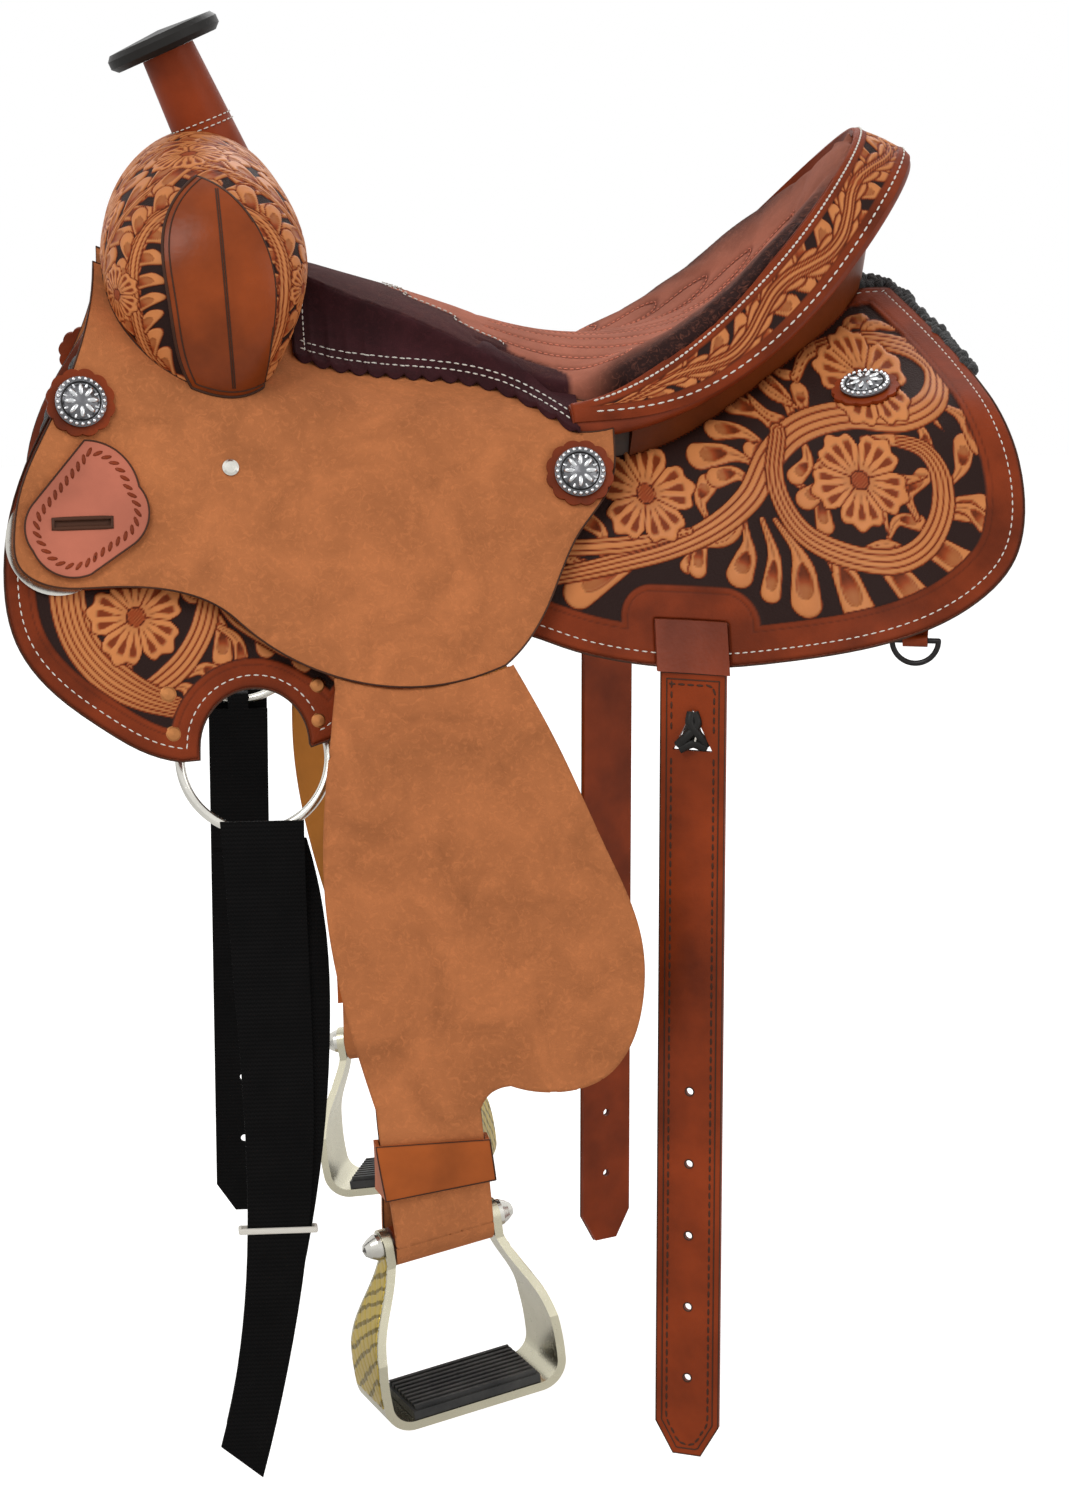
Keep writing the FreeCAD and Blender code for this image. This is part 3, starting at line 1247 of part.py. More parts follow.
blade = Part.makeBox(2 * tab_half, 3, 36, Vector(-tab_half, -1.5, 0))
blade.rotate(Vector(0, 0, 0), Vector(1, 0, 0), -dee_slope)
tab = tab.fuse(blade).cut(Part.makeCylinder(wire + CLEAR, 2 * tab_half + 2, Vector(-tab_half - 1, 0, 0),
                                            Vector(1, 0, 0)))
pair_group("dee_tabs", [moved(single(tab), dee_place)])

dee_front = Part.makeCylinder(35, FAR, Vector(-333, 0, -61), Vector(0, -1, 0))
dee_front = dee_front.cut(Part.makeCylinder(28.5, FAR, Vector(-333, 0, -61), Vector(0, -1, 0)))
flat_dee = layer(bed_section, SKIRT_OUT + CLEAR, SKIRT_OUT + CLEAR + 3).common(dee_front)
pair_group("front_dees", [single(flat_dee)])

screw = moved(rivet.Shape, facing(jockey_sheet, -221, -18, CLEAR))
pair_group("tree_screws", [screw])


# ---------------------------------------------------------------- checks and files

os.makedirs("parts", exist_ok=True)
doc.recompute()
for thing in doc.Objects:
    if "Invalid" in thing.State or "Error" in thing.State:
        raise RuntimeError("%s did not compute" % thing.Label)
for piece in PIECES:
    if piece.Shape.isNull() or not piece.Shape.isValid() or not piece.Shape.Solids:
        raise RuntimeError("%s has no valid solid" % piece.Label)
for piece in PIECES:
    piece.Shape.exportStep(os.path.join("parts", piece.Label + ".step"))
    print(piece.Label, len(piece.Shape.Solids), round(piece.Shape.Volume / 1000, 2))
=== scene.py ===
import json
import math

import bmesh
import bpy
import numpy as np
from mathutils import Matrix, Vector, noise
from mathutils.bvhtree import BVHTree
from mathutils.kdtree import KDTree


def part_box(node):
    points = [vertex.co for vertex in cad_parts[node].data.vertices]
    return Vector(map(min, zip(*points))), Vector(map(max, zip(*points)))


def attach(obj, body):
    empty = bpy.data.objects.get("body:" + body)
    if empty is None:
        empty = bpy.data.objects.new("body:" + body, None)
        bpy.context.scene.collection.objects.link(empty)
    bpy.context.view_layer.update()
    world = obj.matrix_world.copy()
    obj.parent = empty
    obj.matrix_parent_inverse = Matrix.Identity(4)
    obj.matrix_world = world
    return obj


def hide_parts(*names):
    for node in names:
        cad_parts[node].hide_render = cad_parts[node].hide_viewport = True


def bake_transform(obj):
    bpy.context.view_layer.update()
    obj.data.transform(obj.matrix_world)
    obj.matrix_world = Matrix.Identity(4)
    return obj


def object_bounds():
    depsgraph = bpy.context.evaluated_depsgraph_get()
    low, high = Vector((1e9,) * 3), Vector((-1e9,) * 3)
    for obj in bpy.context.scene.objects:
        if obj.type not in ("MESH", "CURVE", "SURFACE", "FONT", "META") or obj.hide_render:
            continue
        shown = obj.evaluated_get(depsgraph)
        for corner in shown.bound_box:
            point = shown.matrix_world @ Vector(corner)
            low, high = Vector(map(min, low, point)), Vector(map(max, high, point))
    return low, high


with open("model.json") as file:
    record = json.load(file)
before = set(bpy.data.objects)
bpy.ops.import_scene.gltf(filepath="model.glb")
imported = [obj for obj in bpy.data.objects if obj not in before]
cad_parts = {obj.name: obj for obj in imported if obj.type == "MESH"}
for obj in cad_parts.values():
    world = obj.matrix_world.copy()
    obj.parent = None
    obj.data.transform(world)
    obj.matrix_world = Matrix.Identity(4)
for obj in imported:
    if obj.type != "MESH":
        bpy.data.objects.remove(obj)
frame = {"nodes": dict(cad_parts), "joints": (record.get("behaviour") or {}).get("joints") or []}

bl_info = {
    "name": "Western Saddle",
    "version": (1, 0, 0),
    "blender": (4, 5, 0),
    "location": "View3D > Sidebar > Saddle",
    "description": "Dresses a western saddle in tooled leather, roughout, suede and metal",
    "category": "Add Mesh",
}

CAD_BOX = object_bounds()
NODES = frame["nodes"]
SIDES = {"left": -1, "right": 1}
MM = 0.001
ACROSS, ABOVE = Vector((0, 1, 0)), Vector((0, 0, 1))


def fine(full):
    return full


# ------------------------------------------------------------------ settings
def tint(name, description, default):
    return bpy.props.FloatVectorProperty(name=name, description=description, subtype="COLOR",
                                         size=3, min=0, max=1, default=default)


def length(name, description, default):
    return bpy.props.FloatProperty(name=name, description=description, default=default, min=0,
                                   unit="LENGTH", subtype="DISTANCE", precision=4)


class SaddleColours(bpy.types.PropertyGroup):
    """The finishes of the saddle"""
    ground: tint("Carving ground", "Dyed ground between the carved leaves", (0.022, 0.009, 0.007))
    shade: tint("Carving shade", "Antique finish left in the cuts", (0.160, 0.029, 0.007))
    carved: tint("Carved leather", "Oiled tan leather of the leaves and flowers", (0.60, 0.22, 0.072))
    border: tint("Border", "Smooth border of skirts and cantle", (0.168, 0.026, 0.006))
    roughout: tint("Roughout", "Flesh side of jockeys and fenders", (0.47, 0.160, 0.056))
    smooth: tint("Smooth leather", "Billets, loops and horn neck", (0.202, 0.029, 0.004))
    keeper: tint("Keeper", "Latigo keepers", (0.43, 0.130, 0.080))
    seat: tint("Seat suede", "Padded seat", (0.43, 0.145, 0.090))
    # panel: the seat suede as it looks in shade, given as a colour of its own: painted shade
    panel: tint("Panel suede", "Seat side panels", (0.034, 0.008, 0.010))
    thread: tint("Thread", "Waxed stitching thread", (0.80, 0.76, 0.68))


class SaddleStitching(bpy.types.PropertyGroup):
    """The sewing thread"""
    pitch: length("Pitch", "Distance from one stitch to the next", 0.0056)
    span: length("Stitch length", "Length of the thread that shows", 0.0040)
    thickness: length("Thread", "Thickness of the thread", 0.0011)
    inset: length("Inset", "Distance of a row from its edge", 0.0085)


class SaddleCarving(bpy.types.PropertyGroup):
    """The carving of skirts, swell and cantle"""
    depth: length("Depth", "Height of the leaves above their ground", 0.0013)
    cell: length("Cell", "Size of a face of the carved sheet", 0.0011)
    border: length("Border", "Width of the plain border round the carving", 0.026)


class SaddleStage(bpy.types.PropertyGroup):
    """The studio round the saddle"""
    floor: tint("Floor", "Pale floor", (0.90, 0.90, 0.89))
    key: bpy.props.FloatProperty(name="Key light", description="Power of the large soft lamp",
                                 default=16, min=0, unit="POWER")
    sky: bpy.props.FloatProperty(name="Sky", description="Strength of the even light",
                                 default=0.5, min=0)


# ------------------------------------------------------------------ node helpers
FLOAT, VECTOR, GEOMETRY = "NodeSocketFloat", "NodeSocketVector", "NodeSocketGeometry"
OBJECT, MATERIAL = "NodeSocketObject", "NodeSocketMaterial"


def connect(tree, sockets, values):
    """Sets inputs by name: each value is a number, a colour or another node's output."""
    for name, value in values.items():
        if isinstance(value, bpy.types.NodeSocket):
            tree.links.new(value, sockets[name])
        else:
            sockets[name].default_value = value


def add(tree, kind, values=None, **settings):
    """A node with its settings and its inputs."""
    node = tree.nodes.new(kind)
    for name, value in settings.items():
        setattr(node, name, value)
    connect(tree, node.inputs, values or {})
    return node


def maths(tree, operation, *values):
    return add(tree, "ShaderNodeMath", dict(enumerate(values)), operation=operation).outputs[0]


def times(tree, first, second):
    return maths(tree, "MULTIPLY", first, second)


def plus(tree, first, second):
    return maths(tree, "ADD", first, second)


def mix(tree, amount, low, high, blend="MIX"):
    values = {0: amount, 6: low, 7: high}
    return add(tree, "ShaderNodeMix", values, data_type="RGBA", blend_type=blend).outputs[2]


def band(tree, value, low, high, start=0.0, end=1.0):
    """Stretches the part of a value from low to high, so that it runs from start to end."""
    values = {"Value": value, "From Min": low, "From Max": high, "To Min": start, "To Max": end}
    return add(tree, "ShaderNodeMapRange", values).outputs[0]


def clouds(tree, place, scale, detail, roughness=0.5, distortion=0.0):
    """Soft uneven patches."""
    values = {"Vector": place, "Scale": scale, "Detail": detail, "Roughness": roughness,
              "Distortion": distortion}
    return add(tree, "ShaderNodeTexNoise", values).outputs["Fac"]


def cells(tree, place, scale, **settings):
    """Small round pebbles."""
    values = {"Vector": place, "Scale": scale}
    return add(tree, "ShaderNodeTexVoronoi", values, **settings).outputs["Distance"]


def waves(tree, place, scale, distortion, detail_scale=1.0):
    """Slanting bands."""
    values = {"Vector": place, "Scale": scale, "Distortion": distortion, "Detail Scale": detail_scale}
    return add(tree, "ShaderNodeTexWave", values, bands_direction="DIAGONAL").outputs["Fac"]


def point_value(tree, name):
    return add(tree, "ShaderNodeAttribute", attribute_name=name).outputs["Fac"]


def group(name, inputs, outputs, kind="ShaderNodeTree"):
    """An empty node group with its sockets: (tree, its inputs, its outputs)."""
    tree = bpy.data.node_groups.new(name, kind)
    for socket, sort, *value in inputs:
        made = tree.interface.new_socket(name=socket, in_out="INPUT", socket_type=sort)
        if value:
            made.default_value = value[0]
    for socket, sort in outputs:
        tree.interface.new_socket(name=socket, in_out="OUTPUT", socket_type=sort)
    start, end = tree.nodes.new("NodeGroupInput"), tree.nodes.new("NodeGroupOutput")
    return tree, start.outputs, end.inputs


def grain_group():
    """Pebbled hair-side grain with soft blotches of dye."""
    tree, give, take = group(
        "Leather Grain", [("Place", VECTOR), ("Scale", FLOAT, 420.0), ("Blotch", FLOAT, 14.0)],
        [("Height", FLOAT), ("Mottle", FLOAT)])
    pebble = cells(tree, give["Place"], give["Scale"], feature="SMOOTH_F1")
    crease = clouds(tree, give["Place"], 160.0, 6.0, 0.6)
    blotch = clouds(tree, give["Place"], give["Blotch"], 4.0, 0.55)
    connect(tree, take, {"Height": plus(tree, times(tree, pebble, 0.7), times(tree, crease, 0.6)),
                         "Mottle": band(tree, blotch, 0.32, 0.68)})


def nap_group():
    """Short fibres of suede and roughout: fine nap, brushed patches and loose flecks."""
    tree, give, take = group(
        "Suede Nap", [("Place", VECTOR), ("Fibre", FLOAT, 900.0), ("Brush", FLOAT, 22.0)],
        [("Height", FLOAT), ("Brushed", FLOAT), ("Fleck", FLOAT)])
    fibre = clouds(tree, give["Place"], give["Fibre"], 4.0, 0.7)
    curl = clouds(tree, give["Place"], 190.0, 5.0, 0.7, 1.2)
    brush = clouds(tree, give["Place"], give["Brush"], 5.0, 0.62, 0.6)
    connect(tree, take, {"Height": plus(tree, times(tree, fibre, 0.6), times(tree, curl, 0.6)),
                         "Brushed": band(tree, brush, 0.3, 0.7),
                         "Fleck": band(tree, curl, 0.50, 0.72)})


def scuff_group():
    """Rubbed places and fine scratches, for metal and smooth leather."""
    tree, give, take = group("Scuffs", [("Place", VECTOR), ("Scale", FLOAT, 60.0)],
                             [("Scratch", FLOAT), ("Rub", FLOAT)])
    streak = clouds(tree, give["Place"], give["Scale"], 8.0, 0.75, 2.5)
    rub = clouds(tree, give["Place"], 9.0, 3.0)
    connect(tree, take, {"Scratch": band(tree, streak, 0.58, 0.72),
                         "Rub": band(tree, rub, 0.38, 0.66)})


# ------------------------------------------------------------------ finishes
FINISHES = {}


def finish(name):
    """A new material: (its tree, its Principled shader, its object coordinates)."""
    material = bpy.data.materials.new(name)
    material.use_nodes = True
    tree = material.node_tree
    shader = tree.nodes["Principled BSDF"]
    place = add(tree, "ShaderNodeTexCoord").outputs["Object"]
    FINISHES[name] = material
    return tree, shader, place


def shared(tree, name, **values):
    """The outputs of one of the groups above."""
    node = tree.nodes.new("ShaderNodeGroup")
    node.node_tree = bpy.data.node_groups[name]
    connect(tree, node.inputs, values)
    return node.outputs


def bump(tree, height, strength, distance=0.0006):
    values = {"Height": height, "Strength": strength, "Distance": distance}
    return add(tree, "ShaderNodeBump", values).outputs[0]


def rgba(colour, gain=1.0):
    return (*[min(1.0, channel * gain) for channel in colour], 1.0)


def smooth_leather(name, colour, dark=0.45, pale=1.45, gloss=0.42, scale=420.0):
    """Hair-side leather: mottled dye, rubbed paler patches, fine grain."""
    tree, shader, place = finish(name)
    grain = shared(tree, "Leather Grain", Place=place, Scale=scale)
    scuff = shared(tree, "Scuffs", Place=place)
    dyed = mix(tree, grain["Mottle"], rgba(colour, dark), rgba(colour, pale))
    rough = band(tree, grain["Mottle"], 0, 1, gloss + 0.1, gloss - 0.05)
    connect(tree, shader.inputs, {
        "Base Color": mix(tree, times(tree, scuff["Rub"], 0.35), dyed, rgba(colour, pale * 1.25)),
        "Specular IOR Level": 0.18,
        "Roughness": plus(tree, rough, times(tree, scuff["Scratch"], 0.12)),
        "Normal": bump(tree, grain["Height"], 0.25)})


def napped(name, colour, dark=0.62, pale=1.28, fibre=900.0):
    """Suede or roughout: matt fibres that catch the light at grazing angles."""
    tree, shader, place = finish(name)
    nap = shared(tree, "Suede Nap", Place=place, Fibre=fibre)
    brushed = mix(tree, nap["Brushed"], rgba(colour, dark), rgba(colour, pale))
    connect(tree, shader.inputs, {
        "Base Color": mix(tree, times(tree, nap["Fleck"], 0.45), brushed, rgba(colour, pale * 1.35)),
        "Roughness": 0.92, "Specular IOR Level": 0.2,
        "Sheen Weight": 0.25, "Sheen Roughness": 0.45, "Sheen Tint": rgba(colour, 1.6),
        "Normal": bump(tree, nap["Height"], 0.7, 0.0009)})


def metal(name, colour, rough, wear=0.15, engraved=False):
    """Cast or rolled metal with scratches; engraved adds slanting cuts."""
    tree, shader, place = finish(name)
    scuff = shared(tree, "Scuffs", Place=place, Scale=110.0)
    worn = mix(tree, scuff["Rub"], rgba(colour, 0.78), rgba(colour, 1.08))
    height, strength = scuff["Scratch"], 0.12
    if engraved:
        cut = band(tree, waves(tree, place, 46.0, 2.2, 2.2), 0.10, 0.32)
        worn = mix(tree, cut, rgba(colour, 0.35), worn)
        height, strength = plus(tree, cut, times(tree, height, 0.2)), 0.55
    connect(tree, shader.inputs, {
        "Base Color": worn, "Metallic": 1.0,
        "Roughness": band(tree, scuff["Scratch"], 0, 1, rough, rough + wear),
        "Normal": bump(tree, height, strength, 0.0005)})


def make_finishes(colours):
    for build in (grain_group, nap_group, scuff_group):
        build()
    for name, colour, *nature in (  # dark, pale, gloss and scale of the grain
            ("Border Leather", colours.border),
            ("Smooth Leather", colours.smooth),
            ("Keeper Leather", colours.keeper, 0.7, 1.25, 0.5),
            ("Gusset Leather", (0.195, 0.036, 0.006), 0.45, 1.7, 0.30, 300.0),
            ("Edge Leather", (0.055, 0.020, 0.010), 0.6, 1.3, 0.5),
            ("Black Leather", (0.012, 0.011, 0.010), 0.7, 1.6, 0.38),
            ("Golden Leather", (0.36, 0.130, 0.022), 0.6, 1.3, 0.4),
            ("Strap Leather", (0.40, 0.092, 0.016), 0.6, 1.25, 0.45),
            # Cantle Leather: dark brown leather, darkened further as painted shade for the shaded back
            # of the cantle
            ("Cantle Leather", (0.135, 0.027, 0.005), 0.5, 1.6, 0.36),
            ("Quilting Thread", colours.seat, 1.3, 1.9, 0.7)):
        smooth_leather(name, colour, *nature)
    napped("Roughout", colours.roughout, 0.76, 1.18)
    napped("Padded Suede", colours.seat, 0.72, 1.2, 1100.0)
    # the dark panel suede is the seat suede drawn in shade: painted shade
    napped("Panel Suede Painted Shade", colours.panel, 0.6, 1.5, 1100.0)
    for name, colour, *nature in (  # roughness, wear and whether it is engraved
            ("Stainless", (0.72, 0.70, 0.64), 0.22),
            ("Dark Steel", (0.035, 0.033, 0.033), 0.4),
            ("Silver", (0.80, 0.81, 0.82), 0.16),
            ("Old Silver", (0.20, 0.20, 0.21), 0.34),
            ("Engraved Brass", (0.64, 0.47, 0.11), 0.30, 0.2, True),
            ("Copper", (0.42, 0.17, 0.06), 0.38),
            ("Cast Aluminium", (0.70, 0.66, 0.50), 0.26, 0.2)):
        metal(name, colour, *nature)
    carved_finish(colours)
    seat_cover_finish(colours)
    thread_finish(colours)
    for build in (fleece_finish, rubber_finish, webbing_finish, wood_finish):
        build()


def carved_finish(colours):
    """Tooled leather: the sheet's own tone says ground, cut or leaf, and plain says border."""
    tree, shader, place = finish("Carved Leather")
    tone = point_value(tree, "tone")
    grain = shared(tree, "Leather Grain", Place=place, Scale=520.0, Blotch=20.0)
    scuff = shared(tree, "Scuffs", Place=place)
    ramp = add(tree, "ShaderNodeValToRGB", {"Fac": tone})
    stops = ramp.color_ramp.elements
    stops[0].position, stops[0].color = 0.06, rgba(colours.ground)
    stops[1].position, stops[1].color = 1.0, rgba(colours.carved, 1.12)
    for position, colour in ((0.28, rgba(colours.shade, 0.75)), (0.5, rgba(colours.shade, 2.0)),
                             (0.72, rgba(colours.carved, 0.74))):
        stops.new(position).color = colour
    oiled = mix(tree, times(tree, grain["Mottle"], 0.45), ramp.outputs["Color"],
                rgba(colours.shade, 2.2), "MULTIPLY")
    oiled = mix(tree, 0.35, ramp.outputs["Color"], oiled)
    dyed = mix(tree, grain["Mottle"], rgba(colours.border, 0.55), rgba(colours.border, 1.5))
    dyed = mix(tree, times(tree, scuff["Rub"], 0.3), dyed, rgba(colours.border, 1.9))
    matting = times(tree, cells(tree, place, 700.0), band(tree, tone, 0.05, 0.3, 1.0, 0.0))
    connect(tree, shader.inputs, {
        "Base Color": mix(tree, point_value(tree, "plain"), oiled, dyed),
        "Roughness": band(tree, tone, 0, 1, 0.62, 0.40), "Specular IOR Level": 0.12,
        "Normal": bump(tree, plus(tree, matting, times(tree, grain["Height"], 0.5)), 0.4)})


def thread_finish(colours):
    """Waxed thread: pale strands that wind round each other."""
    tree, shader, place = finish("Thread")
    twist = waves(tree, place, 420.0, 1.0)
    connect(tree, shader.inputs, {
        "Base Color": mix(tree, twist, rgba(colours.thread, 0.72), rgba(colours.thread, 1.15)),
        "Roughness": band(tree, twist, 0, 1, 0.7, 0.5),
        "Normal": bump(tree, twist, 0.4, 0.0003)})


def fleece_finish():
    """Dark curled locks."""
    tree, shader, place = finish("Fleece")
    lock, curl = clouds(tree, place, 150.0, 6.0, 0.7, 2.0), cells(tree, place, 120.0)
    connect(tree, shader.inputs, {
        "Base Color": mix(tree, band(tree, lock, 0.35, 0.7), rgba((0.004, 0.004, 0.004)),
                          rgba((0.045, 0.042, 0.040))),
        "Roughness": 0.95, "Sheen Weight": 0.3,
        "Normal": bump(tree, plus(tree, lock, curl), 1.0, 0.003)})


def rubber_finish():
    """Black rubber with dust on it."""
    tree, shader, place = finish("Rubber")
    speck, dust = clouds(tree, place, 380.0, 5.0), clouds(tree, place, 30.0, 4.0)
    connect(tree, shader.inputs, {
        "Base Color": mix(tree, band(tree, dust, 0.4, 0.75), rgba((0.008, 0.008, 0.008)),
                          rgba((0.045, 0.043, 0.040))),
        "Roughness": band(tree, speck, 0.3, 0.7, 0.5, 0.7),
        "Normal": bump(tree, speck, 0.3)})


def webbing_finish():
    """Flat-woven nylon: rows of short floats, alternate rows shifted."""
    tree, shader, place = finish("Nylon Webbing")
    split = add(tree, "ShaderNodeSeparateXYZ", {"Vector": place}).outputs
    across = maths(tree, "SINE", times(tree, split["X"], 2600.0))
    row = times(tree, split["Z"], 2200.0)
    down = maths(tree, "SINE", plus(tree, row, times(tree, across, 1.3)))
    weave = times(tree, plus(tree, times(tree, across, down), 1.0), 0.5)
    fuzz = clouds(tree, place, 40.0, 4.0)
    connect(tree, shader.inputs, {
        "Base Color": mix(tree, times(tree, weave, fuzz), rgba((0.001, 0.001, 0.001)),
                          rgba((0.009, 0.008, 0.008))),
        "Roughness": band(tree, weave, 0, 1, 0.6, 0.42), "Specular IOR Level": 0.06,
        "Normal": bump(tree, weave, 0.6)})


def wood_finish():
    """Wood with its rings drawn out along the bars, dark as painted shade, since the bars show only in
    shadow.
    """
    tree, shader, place = finish("Tree Wood")
    drawn = add(tree, "ShaderNodeMapping", {"Vector": place, "Scale": (6.0, 60.0, 60.0)}).outputs[0]
    ring = clouds(tree, drawn, 1.5, 6.0, 0.5, 1.0)
    connect(tree, shader.inputs, {
        # dark colours: painted shade over the bars
        "Base Color": mix(tree, band(tree, ring, 0.35, 0.65), rgba((0.045, 0.019, 0.009)),
                          rgba((0.090, 0.042, 0.020))),
        "Roughness": band(tree, ring, 0.3, 0.7, 0.5, 0.65),
        "Normal": bump(tree, ring, 0.3)})


def seat_cover_finish(colours):
    """Suede whose front panel is drawn dark as painted shade, darker along the binding, with painted
    shade in its seams.
    """
    tree, shader, place = finish("Quilted Suede")
    nap = shared(tree, "Suede Nap", Place=place, Fibre=1100.0)
    dark, darkening, sewn = (point_value(tree, name) for name in ("dark", "darkening", "sewn"))
    pink = mix(tree, nap["Brushed"], rgba(colours.seat, 0.78), rgba(colours.seat, 1.18))
    # painted shade: the front panel takes the dark panel colour, a shaded copy of the seat suede
    deep = mix(tree, nap["Brushed"], rgba(colours.panel, 0.7), rgba(colours.panel, 1.4))
    speckled_darkening = times(tree, darkening, band(tree, nap["Fleck"], 0, 1, 1.0, 0.80))
    both = mix(tree, dark, mix(tree, speckled_darkening, pink, rgba((0.022, 0.008, 0.007))), deep)
    # painted shade: the quilting grooves are darkened towards the panel colour
    seam_shade = mix(tree, times(tree, sewn, 0.55), both, rgba(colours.panel, 1.0))
    paler = band(tree, maths(tree, "MAXIMUM", dark, speckled_darkening), 0, 1, 0.3, 0.08)
    flecks = times(tree, nap["Fleck"], paler)
    connect(tree, shader.inputs, {
        "Base Color": mix(tree, flecks, seam_shade, rgba(colours.seat, 1.25)),
        "Roughness": 0.93, "Specular IOR Level": 0.2,
        "Sheen Weight": 0.12, "Sheen Roughness": 0.45, "Sheen Tint": rgba(colours.seat, 1.2),
        "Normal": bump(tree, nap["Height"], 0.7, 0.0009)})


WEARS = {
    "Border Leather": ["skirt", "cantle_roll", "billet_loops"],
    "Smooth Leather": ["flank_billet", "leather_loop", "horn_neck_cover", "dee_tabs",
                       "stirrup_roller", "rosettes"],
    "Keeper Leather": ["latigo_keeper"],
    "Gusset Leather": ["swell_gusset", "swell_cover", "fork"],
    "Cantle Leather": ["cantle_back", "ground_seat"],
    "Black Leather": ["horn_cap"],
    "Roughout": ["jockey", "fender", "fender_top", "stirrup_leather"],
    "Strap Leather": ["hobble_strap"],
    "Padded Suede": ["seat_pad"],
    "Panel Suede Painted Shade": ["seat_side"],
    "Fleece": ["fleece"],
    "Tree Wood": ["tree_bar", "cantle_board"],
    "Stainless": ["horn_core", "rigging_ring", "front_dees", "tree_screws", "stirrup_bolt"],
    "Dark Steel": ["rear_dee"],
    "Old Silver": ["conchos"],
    "Copper": ["rigging_rivets"],
    "Cast Aluminium": ["stirrup"],
    "Rubber": ["stirrup_tread"],
    "Nylon Webbing": ["latigo", "off_billet"],
    "Thread": ["latigo_tie"],
}


# ------------------------------------------------------------------ surfaces
def smoothstep(value):
    """Runs from 0 to 1 with soft ends."""
    value = np.clip(value, 0.0, 1.0)
    return value * value * (3 - 2 * value)


def path(points, count=60):
    """A smooth line through the points, evenly enough spaced for laying things along it."""
    points = [Vector(point) for point in points]
    ends = [points[0] * 2 - points[1], *points, points[-1] * 2 - points[-2]]
    spans = len(points) - 1
    line = []
    for step in range(count + 1):
        place = min(step / count * spans, spans - 1e-6)
        first = int(place)
        t = place - first
        a, b, c, d = ends[first:first + 4]
        line.append(0.5 * (2 * b + (c - a) * t + (2 * a - 5 * b + 4 * c - d) * t * t
                           + (3 * b - a - 3 * c + d) * t ** 3))
    return line


def spaced(line, pitch):
    """The same line with its points a pitch apart."""
    steps = [0.0]
    for a, b in zip(line, line[1:]):
        steps.append(steps[-1] + (b - a).length)
    count = max(2, round(steps[-1] / pitch))
    marks = np.linspace(0, steps[-1], count + 1)
    axes = [np.interp(marks, steps, [point[axis] for point in line]) for axis in range(3)]
    return [Vector(point) for point in zip(*axes)]


def mirrored(point):
    """The same place, or direction, on the other side."""
    return Vector((point[0], -point[1], point[2]))


def linked(name, data):
    """A new object in the scene."""
    made = bpy.data.objects.new(name, data)
    bpy.context.scene.collection.objects.link(made)
    return made


def riding(made, body):
    """Sets a piece on its body."""
    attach(made, body)
    return made


def smoothed(made):
    made.data.polygons.foreach_set("use_smooth", [True] * len(made.data.polygons))


def dressed(made, *finishes):
    """Puts finishes on a piece in place of those it had."""
    made.data.materials.clear()
    for name in finishes:
        made.data.materials.append(FINISHES[name])


def keep_numbers(mesh, label, numbers, kind="FLOAT"):
    """Named numbers, or vectors, kept on a mesh's points."""
    store = mesh.attributes.new(label, kind, "POINT").data
    field = "value" if kind == "FLOAT" else "vector"
    store.foreach_set(field, np.asarray(numbers, np.float32).ravel())


def piece(name, vertices, faces, finishes, body, values=None, smooth=True):
    """A mesh object that rides a body; values are named numbers kept on its points."""
    mesh = bpy.data.meshes.new(name)
    mesh.from_pydata([tuple(vertex) for vertex in vertices], [], faces)
    for label, numbers in (values or {}).items():
        keep_numbers(mesh, label, numbers)
    mesh.polygons.foreach_set("use_smooth", [smooth] * len(mesh.polygons))
    mesh.materials.append(FINISHES[finishes])
    return riding(linked(name, mesh), body)


def carved_piece(name, sheet):
    vertices, faces, values = sheet
    return piece(name, vertices, faces, "Carved Leather", "saddle", values)


def surface_of(made):
    """A search tree over a piece."""
    bpy.context.view_layer.update()
    return BVHTree.FromObject(made, bpy.context.evaluated_depsgraph_get())


def mirror_piece(made, name, body):
    """The same piece on the off side, its faces turned back outwards."""
    twin = made.copy()
    twin.data = made.data.copy()
    twin.name = twin.data.name = name
    twin.parent = None
    bpy.context.scene.collection.objects.link(twin)
    twin.data.transform(Matrix.Diagonal((1, -1, 1, 1)))
    twin.data.flip_normals()
    return riding(twin, body)


def merged(node):
    """A copy of a solid with its loose triangles joined."""
    work = bmesh.new()
    work.from_mesh(NODES[node].data)
    bmesh.ops.remove_doubles(work, verts=work.verts, dist=1e-5)
    return work


def finder_of(places):
    """A search tree over places, numbered in their order."""
    finder = KDTree(len(places))
    for number, place in enumerate(places):
        finder.insert(place, number)
    finder.balance()
    return finder


def tree_of(*nodes, near_only=False):
    """One search tree over several solids."""
    points, faces = [], []
    for node in nodes:
        start = len(points)
        mesh = NODES[node].data
        points += [vertex.co.copy() for vertex in mesh.vertices]
        for polygon in mesh.polygons:
            if near_only and polygon.center.y > 0:
                continue
            faces.append([start + index for index in polygon.vertices])
    return BVHTree.FromPolygons(points, faces)


SHARP = math.radians(38)  # an edge that turns more than this ends a face
SLOPE = 0.25  # how far below the frame's origin the line lies that the sides face away from
RIM_PITCH = 0.0007


